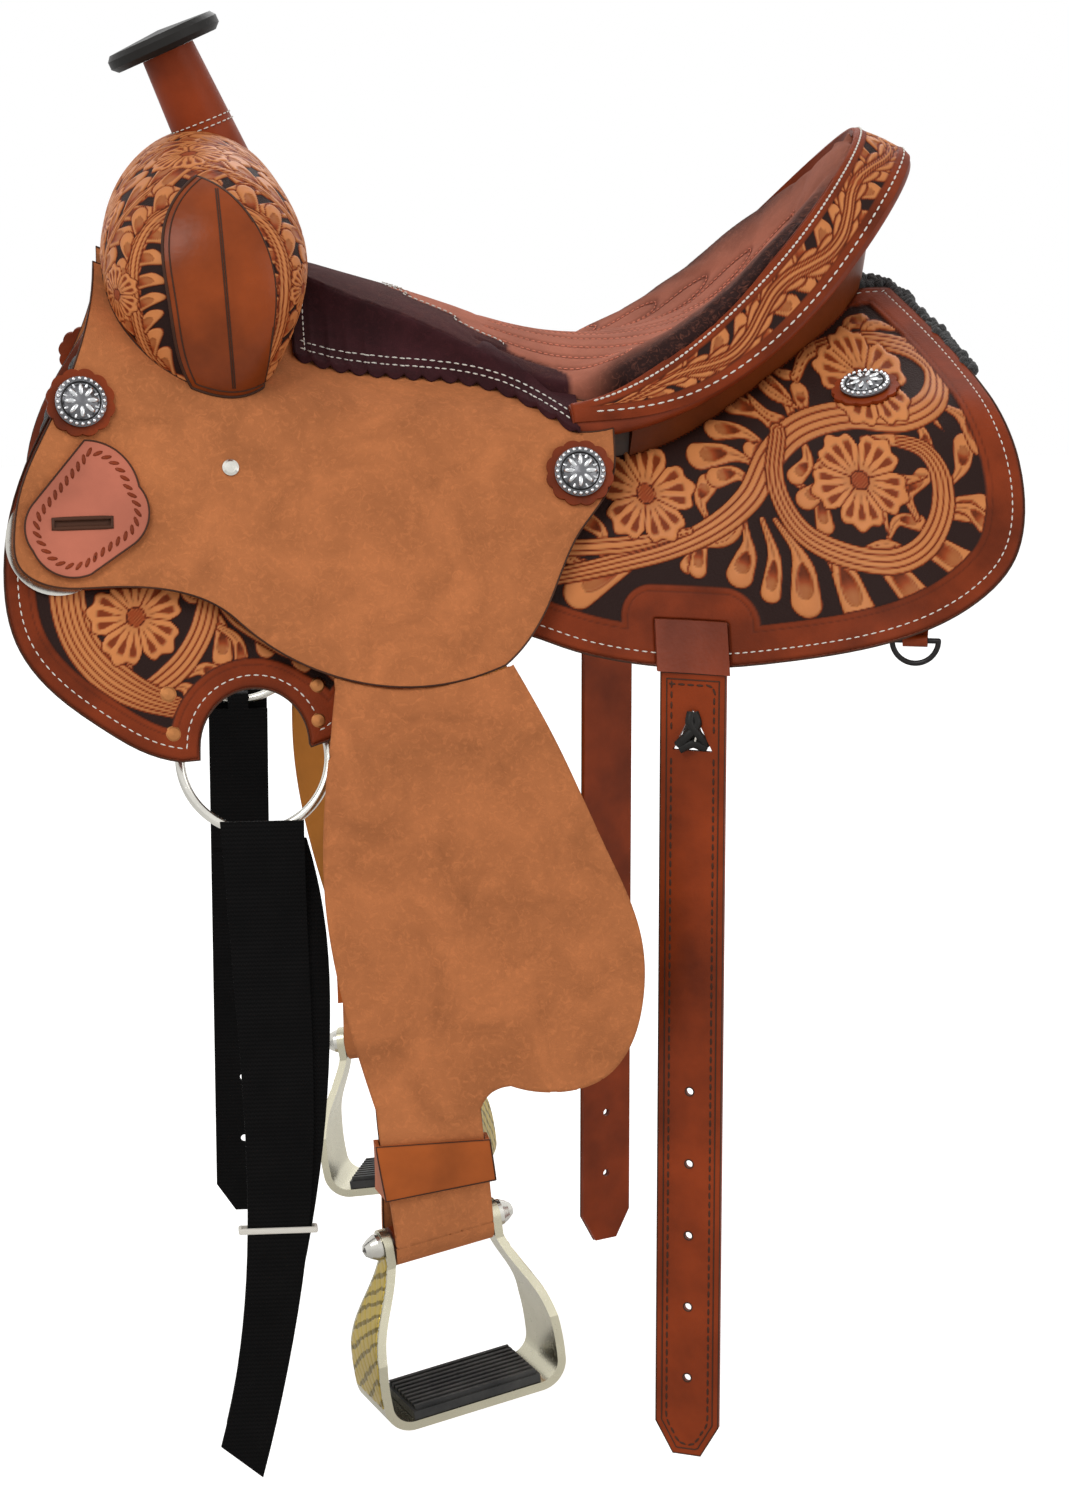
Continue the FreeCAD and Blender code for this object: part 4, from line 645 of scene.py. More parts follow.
class OuterFace:
    """The outward face of a sheet-like solid: its surface, its rims and the distance to them."""

    def __init__(self, node, outward=None):
        work = merged(node)
        outward = outward or (lambda place: Vector((0, place.y, place.z + SLOPE)).normalized())
        work.faces.ensure_lookup_table()

        def shown(members):
            return sum(face.calc_area() * max(0.0, face.normal.dot(outward(face.calc_center_median())))
                       for face in members)

        best = max(self.regions(work.faces), key=shown)
        inside = {face.index for face in best}
        index, points, faces, links = {}, [], [], {}
        for face in best:
            for vertex in face.verts:
                if vertex.index not in index:
                    index[vertex.index] = len(points)
                    points.append(vertex.co.copy())
            faces.append([index[vertex.index] for vertex in face.verts])
            for edge in face.edges:
                if any(other.index not in inside for other in edge.link_faces):
                    a, b = (index[vertex.index] for vertex in edge.verts)
                    links.setdefault(a, []).append(b)
                    links.setdefault(b, []).append(a)
        work.free()
        self.tree = BVHTree.FromPolygons(points, faces)
        self.rims = [[points[number] for number in loop] for loop in self.loops(links)]
        self.rims.sort(key=lambda loop: -sum((b - a).length for a, b in zip(loop, loop[1:])))
        self.edge = finder_of([mark for loop in self.rims for mark in spaced(loop, RIM_PITCH)])

    @staticmethod
    def regions(faces):
        """The faces in groups that no sharp edge parts."""
        seen, regions = set(), []
        for face in faces:
            if face.index in seen:
                continue
            members, waiting = [], [face]
            seen.add(face.index)
            while waiting:
                current = waiting.pop()
                members.append(current)
                for edge in current.edges:
                    if len(edge.link_faces) == 2 and edge.calc_face_angle(0) < SHARP:
                        for other in edge.link_faces:
                            if other.index not in seen:
                                seen.add(other.index)
                                waiting.append(other)
            regions.append(members)
        return regions

    @staticmethod
    def loops(links):
        """The closed or open chains that links between points make; the links are used up."""
        loops = []
        while links:
            start = next(iter(links))
            loop, current = [start], start
            while links.get(current):
                following = links[current].pop()
                links[following].remove(current)
                loop.append(following)
                current = following
            for key in [key for key, value in links.items() if not value]:
                del links[key]
            loops.append(loop)
        return loops

    def long_rims(self):
        """Its rims without the short scraps between triangles."""
        return [loop for loop in self.rims if len(loop) > 6]

    def hit(self, origin, direction):
        """Where a line of sight meets the face: (place, normal, distance from its rims)."""
        place, normal, _, _ = self.tree.ray_cast(origin, direction)
        if place is None:
            return None
        if normal.dot(direction) > 0:
            normal = -normal
        return place, normal, self.edge.find(place)[2]

    def settle(self, point):
        """The nearest place on the face and its outward normal."""
        place, normal, _, _ = self.tree.find_nearest(point)
        return place, normal


SKIN = 0.00005  # a search for what lies over a face starts this far off it
COVERED = 0.007  # a piece nearer than this over a face hides it
TORN = 0.02  # a square of the sheet with longer sides would span a gap
HALVINGS = 5
TUCK = -0.0004  # how far the sheet's cut edge goes into the face


def laid_sheet(columns, rows, ray, face, relief, margin=0.0009, over=None):
    """A fine grid laid on a face and cut at its rim, with relief(u, v, edge) in mm on its points.

    ray(u, v) gives the line of sight for a grid point. over is a tree of pieces that lie on the
    face. It returns vertices, faces and the numbers to keep on the vertices.
    """

    def look(u, v):
        found = face.hit(*ray(u, v))
        if found is None or found[2] < margin:
            return None
        place, normal, edge = found
        if over is not None:
            above = over.ray_cast(place + normal * SKIN, normal, COVERED)[0]
            if above is not None:
                return None
        return u, v, place, normal, edge, False

    points, index, faces = [], {}, []
    grid = [[look(u, v) for v in rows] for u in columns]

    def keep(key, value):
        if key not in index:
            index[key] = len(points)
            points.append(value)
        return index[key]

    def cross(a, b, inner):
        """Where the sheet ends between a kept grid point and a lost one."""
        key = (*min(a, b), *max(a, b))
        if key in index:
            return index[key]
        near = np.array((columns[a[0]], rows[a[1]]))
        far = np.array((columns[b[0]], rows[b[1]]))
        best, low, high = inner, 0.0, 1.0
        for _ in range(HALVINGS):
            middle = (low + high) / 2
            found = look(*(near + (far - near) * middle))
            if found is None:
                high = middle
            else:
                best, low = found, middle
        return keep(key, (*best[:5], True))

    for i in range(len(columns) - 1):
        for j in range(len(rows) - 1):
            corners = [(i, j), (i + 1, j), (i + 1, j + 1), (i, j + 1)]
            found = [grid[a][b] for a, b in corners]
            if not any(found):
                continue
            if all(found):
                if max((mark[2] - found[0][2]).length for mark in found) < TORN:
                    faces.append([keep(corner, value) for corner, value in zip(corners, found)])
                continue
            shape = []
            for k in range(4):
                here, after = (corners[k], found[k]), (corners[(k + 1) % 4], found[(k + 1) % 4])
                if here[1]:
                    shape.append(keep(*here))
                if bool(here[1]) != bool(after[1]):
                    kept, lost = (here, after) if here[1] else (after, here)
                    shape.append(cross(kept[0], lost[0], kept[1]))
            shape = list(dict.fromkeys(shape))
            if len(shape) > 2:
                faces.append(shape)
    u, v, edge = (np.array([point[k] for point in points], float) for k in (0, 1, 4))
    cut = np.array([point[5] for point in points])
    height, tone, plain = relief(u, v, edge * 1000)  # the rim's distance in mm too
    height = np.where(cut, TUCK, height * MM)
    vertices = [point[2] + point[3] * float(lift) for point, lift in zip(points, height)]
    outward = 0
    for a, b, c, *_ in faces[::max(1, len(faces) // 200)]:
        flat = (vertices[b] - vertices[a]).cross(vertices[c] - vertices[a])
        outward += math.copysign(1, flat.dot(points[a][3]))
    if outward < 0:
        faces = [shape[::-1] for shape in faces]
    return vertices, faces, {"tone": tone, "plain": plain}


# ------------------------------------------------------------------ carving
class Carving:
    """Marks cut into leather, later ones over earlier; every size is in millimetres."""

    def __init__(self):
        self.marks = []

    def stroke(self, points, radii, kind):
        """A line with radii spread evenly along it."""
        line = path([(*point, 0) for point in points], 7 * (len(points) - 1))
        wide = np.interp(np.linspace(0, len(radii) - 1, len(line)), range(len(radii)), radii)
        self.marks.append((kind, np.array([(p.x, p.y) for p in line]), wide))

    def vine(self, points, start=4.6, end=2.6):
        self.stroke(points, (start * 0.6, start, start, end), "vine")

    def bent(self, base, tip, bend, radii, kind):
        """A stroke whose middle stands out to one side by a share of its length."""
        base, tip = np.array(base, float), np.array(tip, float)
        run = tip - base
        side = np.array((-run[1], run[0])) * bend
        self.stroke([base, base + run * 0.5 + side, tip], radii, kind)

    def leaf(self, base, tip, width=8.0, bend=0.18):
        self.bent(base, tip, bend, (1.7, 2.9, width * 0.86, width * 1.06), "leaf")

    def blade(self, base, tip, width=5.0, bend=0.2):
        self.bent(base, tip, bend, (0.8, width, width * 0.8, 0.4), "blade")

    def spray(self, points, pitch=17.0, reach=23.0, width=6.4, start=4.0, lean=0.72):
        """A vine with a leaf to each side at every pitch."""
        marks = spaced(path([(*point, 0) for point in points], 120), pitch)
        for before, here in zip(marks, marks[1:]):
            along = (here - before).normalized()
            side = Vector((-along.y, along.x, 0))
            for way in (1, -1):
                tip = here + (along * 0.78 + side * way * lean) * reach
                self.leaf(before[:2], tip[:2], width, -0.22 * way)
        self.vine(points, start, start * 0.6)

    def bloom(self, middle, radius, turn=0.0):
        self.marks.append(("bloom", np.array([middle], float), np.array([radius, turn])))

    def cut(self, u, v):
        """Height from 0 (ground) to 1 (leaf) and tone from 0 to 1 at the given places."""
        height, tone = np.zeros_like(u), np.zeros_like(u)
        for kind, line, wide in self.marks:
            reach = wide.max() * 1.15 + 2
            (left, low), (right, high) = line.min(0) - reach, line.max(0) + reach
            near = (u > left) & (u < right) & (v > low) & (v < high)
            if not near.any():
                continue
            if kind == "bloom":
                depth, rise, shade = bloom_mark(u[near], v[near], line[0], *wide)
            else:
                depth, rise, shade = stroke_mark(kind, u[near], v[near], line, wide)
            outline = smoothstep(1 - np.abs(depth) / 0.95)
            inside = smoothstep((depth + 0.15) / 0.5)
            here_height = height[near] * (1 - inside) + rise * smoothstep(depth / 1.3) * inside
            here_tone = tone[near] * (1 - inside) + shade * inside
            height[near] = here_height * (1 - 0.45 * outline)
            tone[near] = here_tone * (1 - outline) + np.minimum(here_tone, 0.22) * outline
        return height, tone


def stroke_mark(kind, u, v, line, wide):
    """A vine, drop leaf or blade: distance inside its edge, height and tone."""
    depth = np.full_like(u, -99.0)
    offset, along, broad = np.zeros_like(u), np.zeros_like(u), np.zeros_like(u)
    for number, (a, b) in enumerate(zip(line, line[1:])):
        run = b - a
        t = np.clip(((u - a[0]) * run[0] + (v - a[1]) * run[1]) / max(run @ run, 1e-9), 0, 1)
        gap = np.hypot(u - a[0] - run[0] * t, v - a[1] - run[1] * t)
        radius = wide[number] + (wide[number + 1] - wide[number]) * t
        better = radius - gap > depth
        depth = np.where(better, radius - gap, depth)
        offset = np.where(better, gap / radius, offset)
        broad = np.where(better, radius, broad)
        along = np.where(better, (number + t) / (len(line) - 1), along)
    if kind == "vine":
        groove = smoothstep(1 - np.abs(offset - 0.42) / np.clip(0.95 / wide.max(), 0.12, 0.3))
        if wide.max() > 6:
            ways = 2 if wide.max() < 9 else 3
            strands = np.abs(np.mod(offset * ways + 0.5, 1.0) - 0.5) * broad / ways
            groove = np.maximum(smoothstep(1 - strands / 1.05) * (broad > 4), groove * (broad <= 4))
        return depth, 1 - 0.45 * groove, 0.97 - 0.72 * groove - 0.10 * offset
    if kind == "blade":
        groove = smoothstep(1 - offset / 0.16)
        return depth, 1 - 0.5 * groove, 0.95 - 0.6 * groove - 0.15 * offset
    drop = np.sqrt(np.clip(1 - ((along - 0.76) / 0.21) ** 2, 0, 1)) * (0.28 + 0.40 * along)
    hollow = smoothstep((drop - offset) / 0.16)
    rim = smoothstep(1 - np.abs(drop - offset) / 0.12) * (drop > 0.02)
    vein = smoothstep(1 - offset / 0.3) * smoothstep((0.6 - along) / 0.15)
    rise = 1 - 0.55 * hollow - 0.35 * vein
    darkening = 0.55 + 0.6 * smoothstep((0.86 - along) / 0.2)
    shade = 1.0 - 0.60 * hollow * darkening - 0.42 * rim - 0.5 * vein
    return depth, rise, np.clip(shade - 0.10 * offset, 0.15, 1.0)


PETAL_ANGLE = np.pi / 5  # half of one petal's share of the turn


def bloom_mark(u, v, middle, radius, turn):
    """Five notched petals round a seeded centre."""
    x, y = u - middle[0], v - middle[1]
    reach, angle = np.hypot(x, y), np.arctan2(y, x) - turn
    petal = np.abs(np.cos(2.5 * angle))
    within = (np.mod(angle * 5 / (2 * np.pi) + 0.5, 1.0) - 0.5) * 2
    rim = radius * (0.70 + 0.26 * petal ** 0.7 + 0.045 * np.cos(3 * np.pi * within))
    depth = (rim - reach) * 0.85
    parting = smoothstep(1 - np.abs(np.sin((1 - np.abs(within)) * PETAL_ANGLE)) * reach / 0.9)
    parting *= reach > radius * 0.2
    share = reach / radius
    flutes = np.zeros_like(u)
    drop = np.maximum(0.75, (0.6 + 1.9 * np.clip((share - 0.42) / 0.24, 0, 1)) * radius / 32)
    for lean in (-0.54, 0.0, 0.54):
        across = np.abs(within - lean) * PETAL_ANGLE * reach
        flutes = np.maximum(flutes, smoothstep((drop - across) / 0.9 + 0.15)
                            * smoothstep((share - 0.25) / 0.1) * smoothstep((0.82 - share) / 0.10))
    heart = smoothstep((0.17 - share) / 0.02)
    ring = smoothstep(1 - np.abs(share - 0.18) * radius / 0.9)
    seeds = 0.5 + 0.5 * np.sin(x * 2.4) * np.sin(y * 2.4)
    rise = 1 - 0.5 * parting - 0.45 * flutes - 0.45 * ring
    hub = smoothstep((0.42 - share) / 0.25)
    shade = 1.0 - 0.75 * parting - 0.62 * flutes - 0.7 * ring - 0.18 * hub
    rise = np.where(heart > 0.5, 0.9 - 0.3 * seeds, rise)
    shade = np.where(heart > 0.5, 0.62 - 0.25 * seeds, shade)
    return depth, rise, np.clip(shade, 0.12, 1.0)


def skirt_carving():
    """Two scrolls that rise from below the jockey's tip, and one round the rigging, in millimetres.

    Leaves are given by base, tip, width and bend, blades by base, tip and width.
    """
    carving = Carving()
    for base, tip, width, bend in (
            ((119, -56), (114, -90), 8, 0.1), ((130, -54), (132, -100), 6, 0.1),
            ((138, -54), (153, -104), 9, 0.12), ((148, -62), (184, -106), 9.5, 0.16),
            ((172, -72), (222, -100), 9.5, 0.16), ((202, -78), (253, -78), 9.5, 0.24),
            ((236, -62), (268, -44), 9, 0.24), ((248, -30), (262, -5), 7, -0.12),
            ((250, 20), (273, -4), 7.5, 0.14), ((232, 10), (237, -6), 4.5, 0.1),
            ((134, -22), (95, -18), 7.5, -0.12), ((140, -12), (108, -2), 5.5, -0.15),
            ((146, -4), (122, 14), 6, -0.2), ((156, 4), (146, 29), 6.5, -0.2),
            ((96, -56), (98, -34), 6, 0.2), ((98, -72), (10, -104), 10.5, -0.10),
            ((26, -84), (14, -56), 6, -0.25), ((152, -30), (168, -56), 5.5, 0.2),
            ((88, -66), (82, -86), 5, 0.1), ((252, 38), (280, 24), 5.5, 0.2),
            ((240, 52), (268, 52), 5, 0.2), ((205, 56), (222, 66), 4.5, 0.2),
            ((176, 46), (190, 62), 4.5, 0.2), ((168, -16), (158, -40), 6.5, 0.25),
            ((176, -2), (168, -22), 5, 0.2), ((206, -62), (226, -52), 5, 0.3),
            ((226, -50), (232, -24), 5.5, 0.3), ((242, -44), (272, -56), 6, 0.2),
            ((150, 0), (128, -12), 5, 0.3), ((160, -4), (153, -26), 5.5, 0.2),
            ((106, -64), (88, -88), 5.5, -0.2), ((128, -36), (104, -30), 6, -0.25),
            ((170, 10), (166, 24), 5, 0.2), ((250, 30), (276, 12), 5.5, 0.2)):
        carving.leaf(base, tip, width, bend)
    for base, tip, width in (((120, -48), (88, -74), 4), ((150, -58), (170, -84), 3.5),
                             ((186, -70), (226, -78), 3.5), ((146, -2), (130, -8), 3),
                             ((160, 6), (132, 24), 3.5), ((20, -88), (-6, -64), 4),
                             ((52, -80), (10, -82), 3.5), ((228, 14), (250, 4), 3),
                             ((214, 56), (244, 60), 3.5), ((170, 34), (150, 40), 3.5),
                             ((162, 14), (142, 44), 4)):
        carving.blade(base, tip, width)
    carving.vine([(-40, -98), (0, -93), (34, -86), (70, -76), (100, -61), (123, -41), (139, -15),
                  (160, 3), (190, 12), (222, 11), (247, 21), (256, 38), (243, 51), (211, 55),
                  (180, 47), (166, 31)], 8.4)
    carving.vine([(146, 0), (140, -25), (145, -47), (158, -64), (182, -74), (208, -76),
                  (229, -66), (242, -46), (244, -24), (235, -8), (217, -2), (197, -2)], 7.8)
    carving.blade((234, -24), (206, -60), 5, -0.38)
    carving.vine([(-36, -66), (-8, -75), (24, -75), (52, -72), (84, -64)], 5.4, 2.4)
    carving.bloom((208, 33), 30, 0.4)
    carving.bloom((58, -42), 33, 0.2)
    carving.bloom((192, -27), 32, 0.9)

    for base, tip, width, bend in (
            ((-236, -104), (-229, -139), 6.5, 0.1), ((-224, -106), (-200, -134), 6.5, 0.2),
            ((-206, -122), (-176, -144), 6.5, 0.15), ((-188, -134), (-152, -152), 6, 0.1),
            ((-212, -112), (-178, -104), 5.5, -0.2), ((-252, -150), (-233, -150), 6, 0.2),
            ((-262, -156), (-247, -166), 6, 0.2), ((-234, -118), (-216, -146), 5, 0.2),
            ((-322, -92), (-306, -76), 5.5, 0.2)):
        carving.leaf(base, tip, width, bend)
    for base, tip, width in (((-240, -104), (-256, -88), 4), ((-236, -100), (-214, -94), 4),
                             ((-316, -112), (-288, -148), 6.5), ((-244, -128), (-262, -146), 5)):
        carving.blade(base, tip, width)
    carving.vine([(-236, -88), (-222, -110), (-200, -126), (-178, -138), (-150, -150)], 7.0)
    carving.vine([(-232, -74), (-236, -98), (-242, -122), (-256, -143), (-276, -157),
                  (-292, -160)], 8.2, 4.0)
    carving.vine([(-258, -170), (-282, -161), (-304, -147), (-320, -128), (-328, -106),
                  (-330, -78)], 11.5, 12.0)
    carving.bloom((-285, -112), 33, 0.5)
    return carving


RIB_PITCH = 0.002


def rib_line(face, inset):
    """A line round a face at an inset from its rim, as a list of (place, normal)."""
    loop = spaced(face.rims[0], RIB_PITCH)
    closed = (loop[0] - loop[-1]).length < 2 * RIB_PITCH
    count, reach = len(loop), 3
    line = []
    for number, point in enumerate(loop):
        before, after = number - reach, number + reach
        if closed:
            before, after = before % count, after % count
        along = (loop[min(count - 1, after)] - loop[max(0, before)]).normalized()
        inward = face.settle(point)[1].cross(along).normalized()
        for way in (inward, -inward):
            place, up = face.settle(point + way * inset)
            if face.edge.find(place)[2] > inset * 0.93:
                line.append((place, up))
                break
    return line


def runs(line, gap=0.012, keep=None):
    """Parts of a line of (place, normal), broken where it jumps and where keep(place) is false."""
    parts = [[]]
    for mark in line:
        if keep and not keep(mark[0]):
            parts.append([])
            continue
        if parts[-1] and (mark[0] - parts[-1][-1][0]).length > gap:
            parts.append([])
        parts[-1].append(mark)
    return [part for part in parts if len(part) > 3]


def lifted(part, height):
    """A line of (place, normal) as plain places, at a height over its face."""
    return [place + normal * height for place, normal in part]


def row_tree():
    """Geometry Nodes: beads of thread, one to a pitch, lying along a curve."""
    tree, give, take = group(
        "Stitch Row", [("Curve", GEOMETRY), ("Pitch", FLOAT, 0.0056), ("Stitch Length", FLOAT, 0.004),
                       ("Thread", FLOAT, 0.0011), ("Finish", MATERIAL)],
        [("Stitches", GEOMETRY)], "GeometryNodeTree")
    marks = add(tree, "GeometryNodeCurveToPoints", {"Curve": give["Curve"], "Length": give["Pitch"]},
                mode="LENGTH").outputs
    bead = add(tree, "GeometryNodeMeshUVSphere", {"Segments": 6, "Rings": 5, "Radius": 0.5})
    shape = add(tree, "ShaderNodeCombineXYZ", {"X": give["Thread"], "Y": give["Thread"],
                                               "Z": give["Stitch Length"]})
    slim = add(tree, "GeometryNodeTransform", {"Geometry": bead.outputs["Mesh"],
                                               "Scale": shape.outputs[0]})
    placed = add(tree, "GeometryNodeInstanceOnPoints", {
        "Points": marks["Points"], "Instance": slim.outputs[0], "Rotation": marks["Rotation"]})
    real = add(tree, "GeometryNodeRealizeInstances", {"Geometry": placed.outputs[0]})
    soft = add(tree, "GeometryNodeSetShadeSmooth", {"Geometry": real.outputs[0]})
    done = add(tree, "GeometryNodeSetMaterial", {"Geometry": soft.outputs[0],
                                                 "Material": give["Finish"]})
    connect(tree, take, {"Stitches": done.outputs[0]})
    return tree


def curves(name, lines, bevel=0.0, finish=None):
    """A curve object with one open poly spline to each line."""
    data = bpy.data.curves.new(name, "CURVE")
    data.dimensions = "3D"
    data.bevel_depth, data.bevel_resolution, data.use_fill_caps = bevel, 2, True
    for line in lines:
        spline = data.splines.new("POLY")
        spline.points.add(len(line) - 1)
        spline.points.foreach_set("co", [number for point in line for number in (*point, 1.0)])
    if finish:
        data.materials.append(FINISHES[finish])
    return linked(name, data)


def as_mesh(source, name):
    """The evaluated object as a plain mesh object of its own; the source is removed."""
    bpy.context.view_layer.update()
    seen = source.evaluated_get(bpy.context.evaluated_depsgraph_get())
    mesh = bpy.data.meshes.new_from_object(seen)
    mesh.name = name
    made = linked(name, mesh)
    bpy.data.objects.remove(source)
    return made


def grown(source, name, tree, values, body):
    """The mesh that a node tree makes of its source, riding a body."""
    modifier = source.modifiers.new(tree.name, "NODES")
    modifier.node_group = tree
    for socket in tree.interface.items_tree:
        if socket.in_out == "INPUT" and socket.name in values:
            modifier[socket.identifier] = values[socket.name]
    return riding(as_mesh(source, name), body)


def stitched(name, lines, pitch=None, span=None, thickness=None, finish="Thread"):
    """Rows of stitches along lines, as one mesh that rides the saddle."""
    sewing = bpy.context.scene.saddle_stitching
    source = curves(name + "_path", lines)
    values = {"Pitch": pitch or sewing.pitch, "Stitch Length": span or sewing.span,
              "Thread": thickness or sewing.thickness, "Finish": FINISHES[finish]}
    tree = bpy.data.node_groups.get("Stitch Row") or row_tree()
    return grown(source, name, tree, values, "saddle")


def beaded(name, lines, thickness, finish, body):
    """Thin rounded edging or grooves along lines, as one mesh."""
    made = as_mesh(curves(name + "_path", lines, thickness / 2, finish), name)
    smoothed(made)
    return riding(made, body)


def edged(name, lines, thickness, body="saddle"):
    """Dark rounded edging along lines."""
    return beaded(name, lines, thickness, "Edge Leather", body)


def both_sides(lines):
    """The lines of the near side and their twins on the off side."""
    return lines + [[mirrored(point) for point in line] for line in lines]


# ------------------------------------------------------------------ pieces
def from_side(x, z):
    """The line of sight from the near side."""
    return Vector((x, -1, z)), ACROSS


def extent(places):
    """The low and high corners of the box round places."""
    return (Vector([pick(place[axis] for place in places) for axis in range(3)])
            for pick in (min, max))


class SADDLE_OT_skirts(bpy.types.Operator):
    """Lays the carved leather on the skirts, with its plain border and stitching"""
    bl_idname = "saddle.skirts"
    bl_label = "Carved skirts"

    def execute(self, context):
        carving, sizes = skirt_carving(), context.scene.saddle_carving
        deep, plain_width = sizes.depth / MM, sizes.border / MM
        slot_border, groove_inset, crease_inset = 21, 8.5, 4.0
        face = OuterFace("skirt_left")
        low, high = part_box("skirt_left")
        slot_low, slot_high = extent([point.co for point in NODES["billet_loops"].data.vertices
                                      if point.co.y < 0])
        over = tree_of("jockey_left", "latigo_keeper_left", "billet_loops", "cantle_back",
                       "cantle_roll", "rosettes", near_only=True)
        step = sizes.cell * fine(1.0)

        def relief(u, v, edge):
            x, z = u / MM, v / MM
            beside = np.maximum(np.maximum(slot_low.x / MM - x, x - slot_high.x / MM), 0)
            above = np.maximum(z - slot_high.z / MM, 0)
            slot = np.hypot(beside, above)
            narrower = 6.5 * smoothstep((-150 - x) / 30)
            frame_edge = np.minimum(edge - plain_width + narrower, slot - slot_border)
            height, tone = carving.cut(x, z)
            inside = smoothstep((frame_edge + 0.2) / 0.9)
            line = smoothstep(1 - np.abs(frame_edge - 0.3) / 1.1)
            crease = smoothstep(1 - np.abs(frame_edge + crease_inset) / 0.8)
            groove = smoothstep(1 - np.abs(edge - groove_inset) / 1.3)
            lift = 0.25 + deep * (inside * height + (1 - inside) * (1 - 0.35 * groove - 0.4 * crease))
            lift = lift * smoothstep(edge / 2.4) - 0.3 * (1 - smoothstep(edge / 1.6))
            tone = inside * tone * (1 - line) + 0.12 * line
            plain = (1 - inside) * (1 - 0.8 * line) * (1 - 0.55 * crease)
            plain *= 0.25 + 0.75 * smoothstep(edge / 3.2)
            return lift, np.maximum(tone, 0.18 * (1 - inside)), plain

        made = carved_piece("skirt_carving_left", laid_sheet(
            np.arange(low.x, high.x, step), np.arange(low.z, high.z, step), from_side, face, relief,
            over=over))
        mirror_piece(made, "skirt_carving_right", "saddle")
        cover = tree_of("jockey_left", "billet_loops", "cantle_back", "cantle_roll", "dee_tabs",
                        near_only=True)

        def free(place):
            """Whether no other piece lies over a place."""
            out = Vector((0, place.y, place.z + SLOPE)).normalized()
            return cover.ray_cast(place + out * 0.0002, out, 0.012)[0] is None

        line = rib_line(face, context.scene.saddle_stitching.inset)
        rows = [lifted(part, height=0.0012) for part in runs(line, keep=free)]
        stitched("skirt_stitching", both_sides(rows))
        return {"FINISHED"}


def setting_tree():
    """Geometry Nodes: a shape set on marks, each turned by its up and along and scaled by its size."""
    tree, give, take = group(
        "Set Out", [("Marks", GEOMETRY), ("Shape", OBJECT), ("Scale", FLOAT), ("Finish", MATERIAL)],
        [("Set", GEOMETRY)], "GeometryNodeTree")

    def named(name, kind="FLOAT_VECTOR"):
        return add(tree, "GeometryNodeInputNamedAttribute", {"Name": name},
                   data_type=kind).outputs["Attribute"]

    upright = add(tree, "FunctionNodeAlignRotationToVector", {"Vector": named("up")}, axis="Z")
    turned = add(tree, "FunctionNodeAlignRotationToVector",
                 {"Rotation": upright.outputs[0], "Vector": named("along")}, axis="X", pivot_axis="Z")
    shape = add(tree, "GeometryNodeObjectInfo", {"Object": give["Shape"]}, transform_space="ORIGINAL")
    placed = add(tree, "GeometryNodeInstanceOnPoints", {
        "Points": give["Marks"], "Instance": shape.outputs["Geometry"], "Rotation": turned.outputs[0],
        "Scale": times(tree, named("size", "FLOAT"), give["Scale"])})
    real = add(tree, "GeometryNodeRealizeInstances", {"Geometry": placed.outputs[0]})
    done = add(tree, "GeometryNodeSetMaterial", {"Geometry": real.outputs[0],
                                                 "Material": give["Finish"]})
    connect(tree, take, {"Set": done.outputs[0]})
    return tree


def set_out(name, marks, shape, finish, body):
    """One mesh of a shape repeated at marks (place, up, along, size); the shape object is used up."""
    mesh = bpy.data.meshes.new(name + "_marks")
    mesh.from_pydata([tuple(mark[0]) for mark in marks], [], [])
    for label, column in (("up", 1), ("along", 2)):
        keep_numbers(mesh, label, [tuple(mark[column]) for mark in marks], "FLOAT_VECTOR")
    keep_numbers(mesh, "size", [mark[3] for mark in marks])
    values = {"Shape": shape, "Scale": 1.0, "Finish": FINISHES[finish]}
    tree = bpy.data.node_groups.get("Set Out") or setting_tree()
    made = grown(linked(name + "_marks", mesh), name, tree, values, body)
    bpy.data.objects.remove(shape)
    return made


def turned_shape(name, profile, steps=20):
    """A closed shape of revolution about Z from (radius, height) points, for setting out."""
    points, faces = [], []
    for radius, height in profile:
        for step in range(steps):
            angle = 2 * math.pi * step / steps
            points.append((radius * math.cos(angle), radius * math.sin(angle), height))
    for row in range(len(profile) - 1):
        for step in range(steps):
            a, b = row * steps + step, row * steps + (step + 1) % steps
            faces.append((a, b, b + steps, a + steps))
    faces.append(tuple(reversed(range(steps))))
    faces.append(tuple(range((len(profile) - 1) * steps, len(profile) * steps)))
    mesh = bpy.data.meshes.new(name)
    mesh.from_pydata(points, [], faces)
    mesh.polygons.foreach_set("use_smooth", [len(face) == 4 for face in faces])
    return linked(name, mesh)


def marked(part, pitch):
    """Marks a pitch apart along a line of (place, normal), each looking along the line."""
    places = spaced([place for place, _ in part], pitch)
    finder = finder_of([place for place, _ in part])
    marks = []
    for number, place in enumerate(places):
        along = places[min(number + 1, len(places) - 1)] - places[max(number - 1, 0)]
        marks.append((place, part[finder.find(place)[1]][1], along.normalized(), 1.0))
    return marks


def both_marks(marks):
    """The marks of the near side and their twins on the off side."""
    return marks + [(*map(mirrored, mark[:3]), mark[3]) for mark in marks]


def remeshed(name, nodes, voxel):
    """One closed even mesh over one or more solids, which may touch."""
    points, faces = [], []
    for node in nodes:
        work = merged(node)
        work.verts.index_update()
        start = len(points)
        points += [vertex.co.copy() for vertex in work.verts]
        faces += [[start + vertex.index for vertex in face.verts] for face in work.faces]
        work.free()
    mesh = bpy.data.meshes.new(name)
    mesh.from_pydata(points, [], faces)
    source = linked(name + "_rough", mesh)
    remesh = source.modifiers.new("remesh", "REMESH")
    remesh.mode, remesh.voxel_size = "VOXEL", voxel
    return as_mesh(source, name)


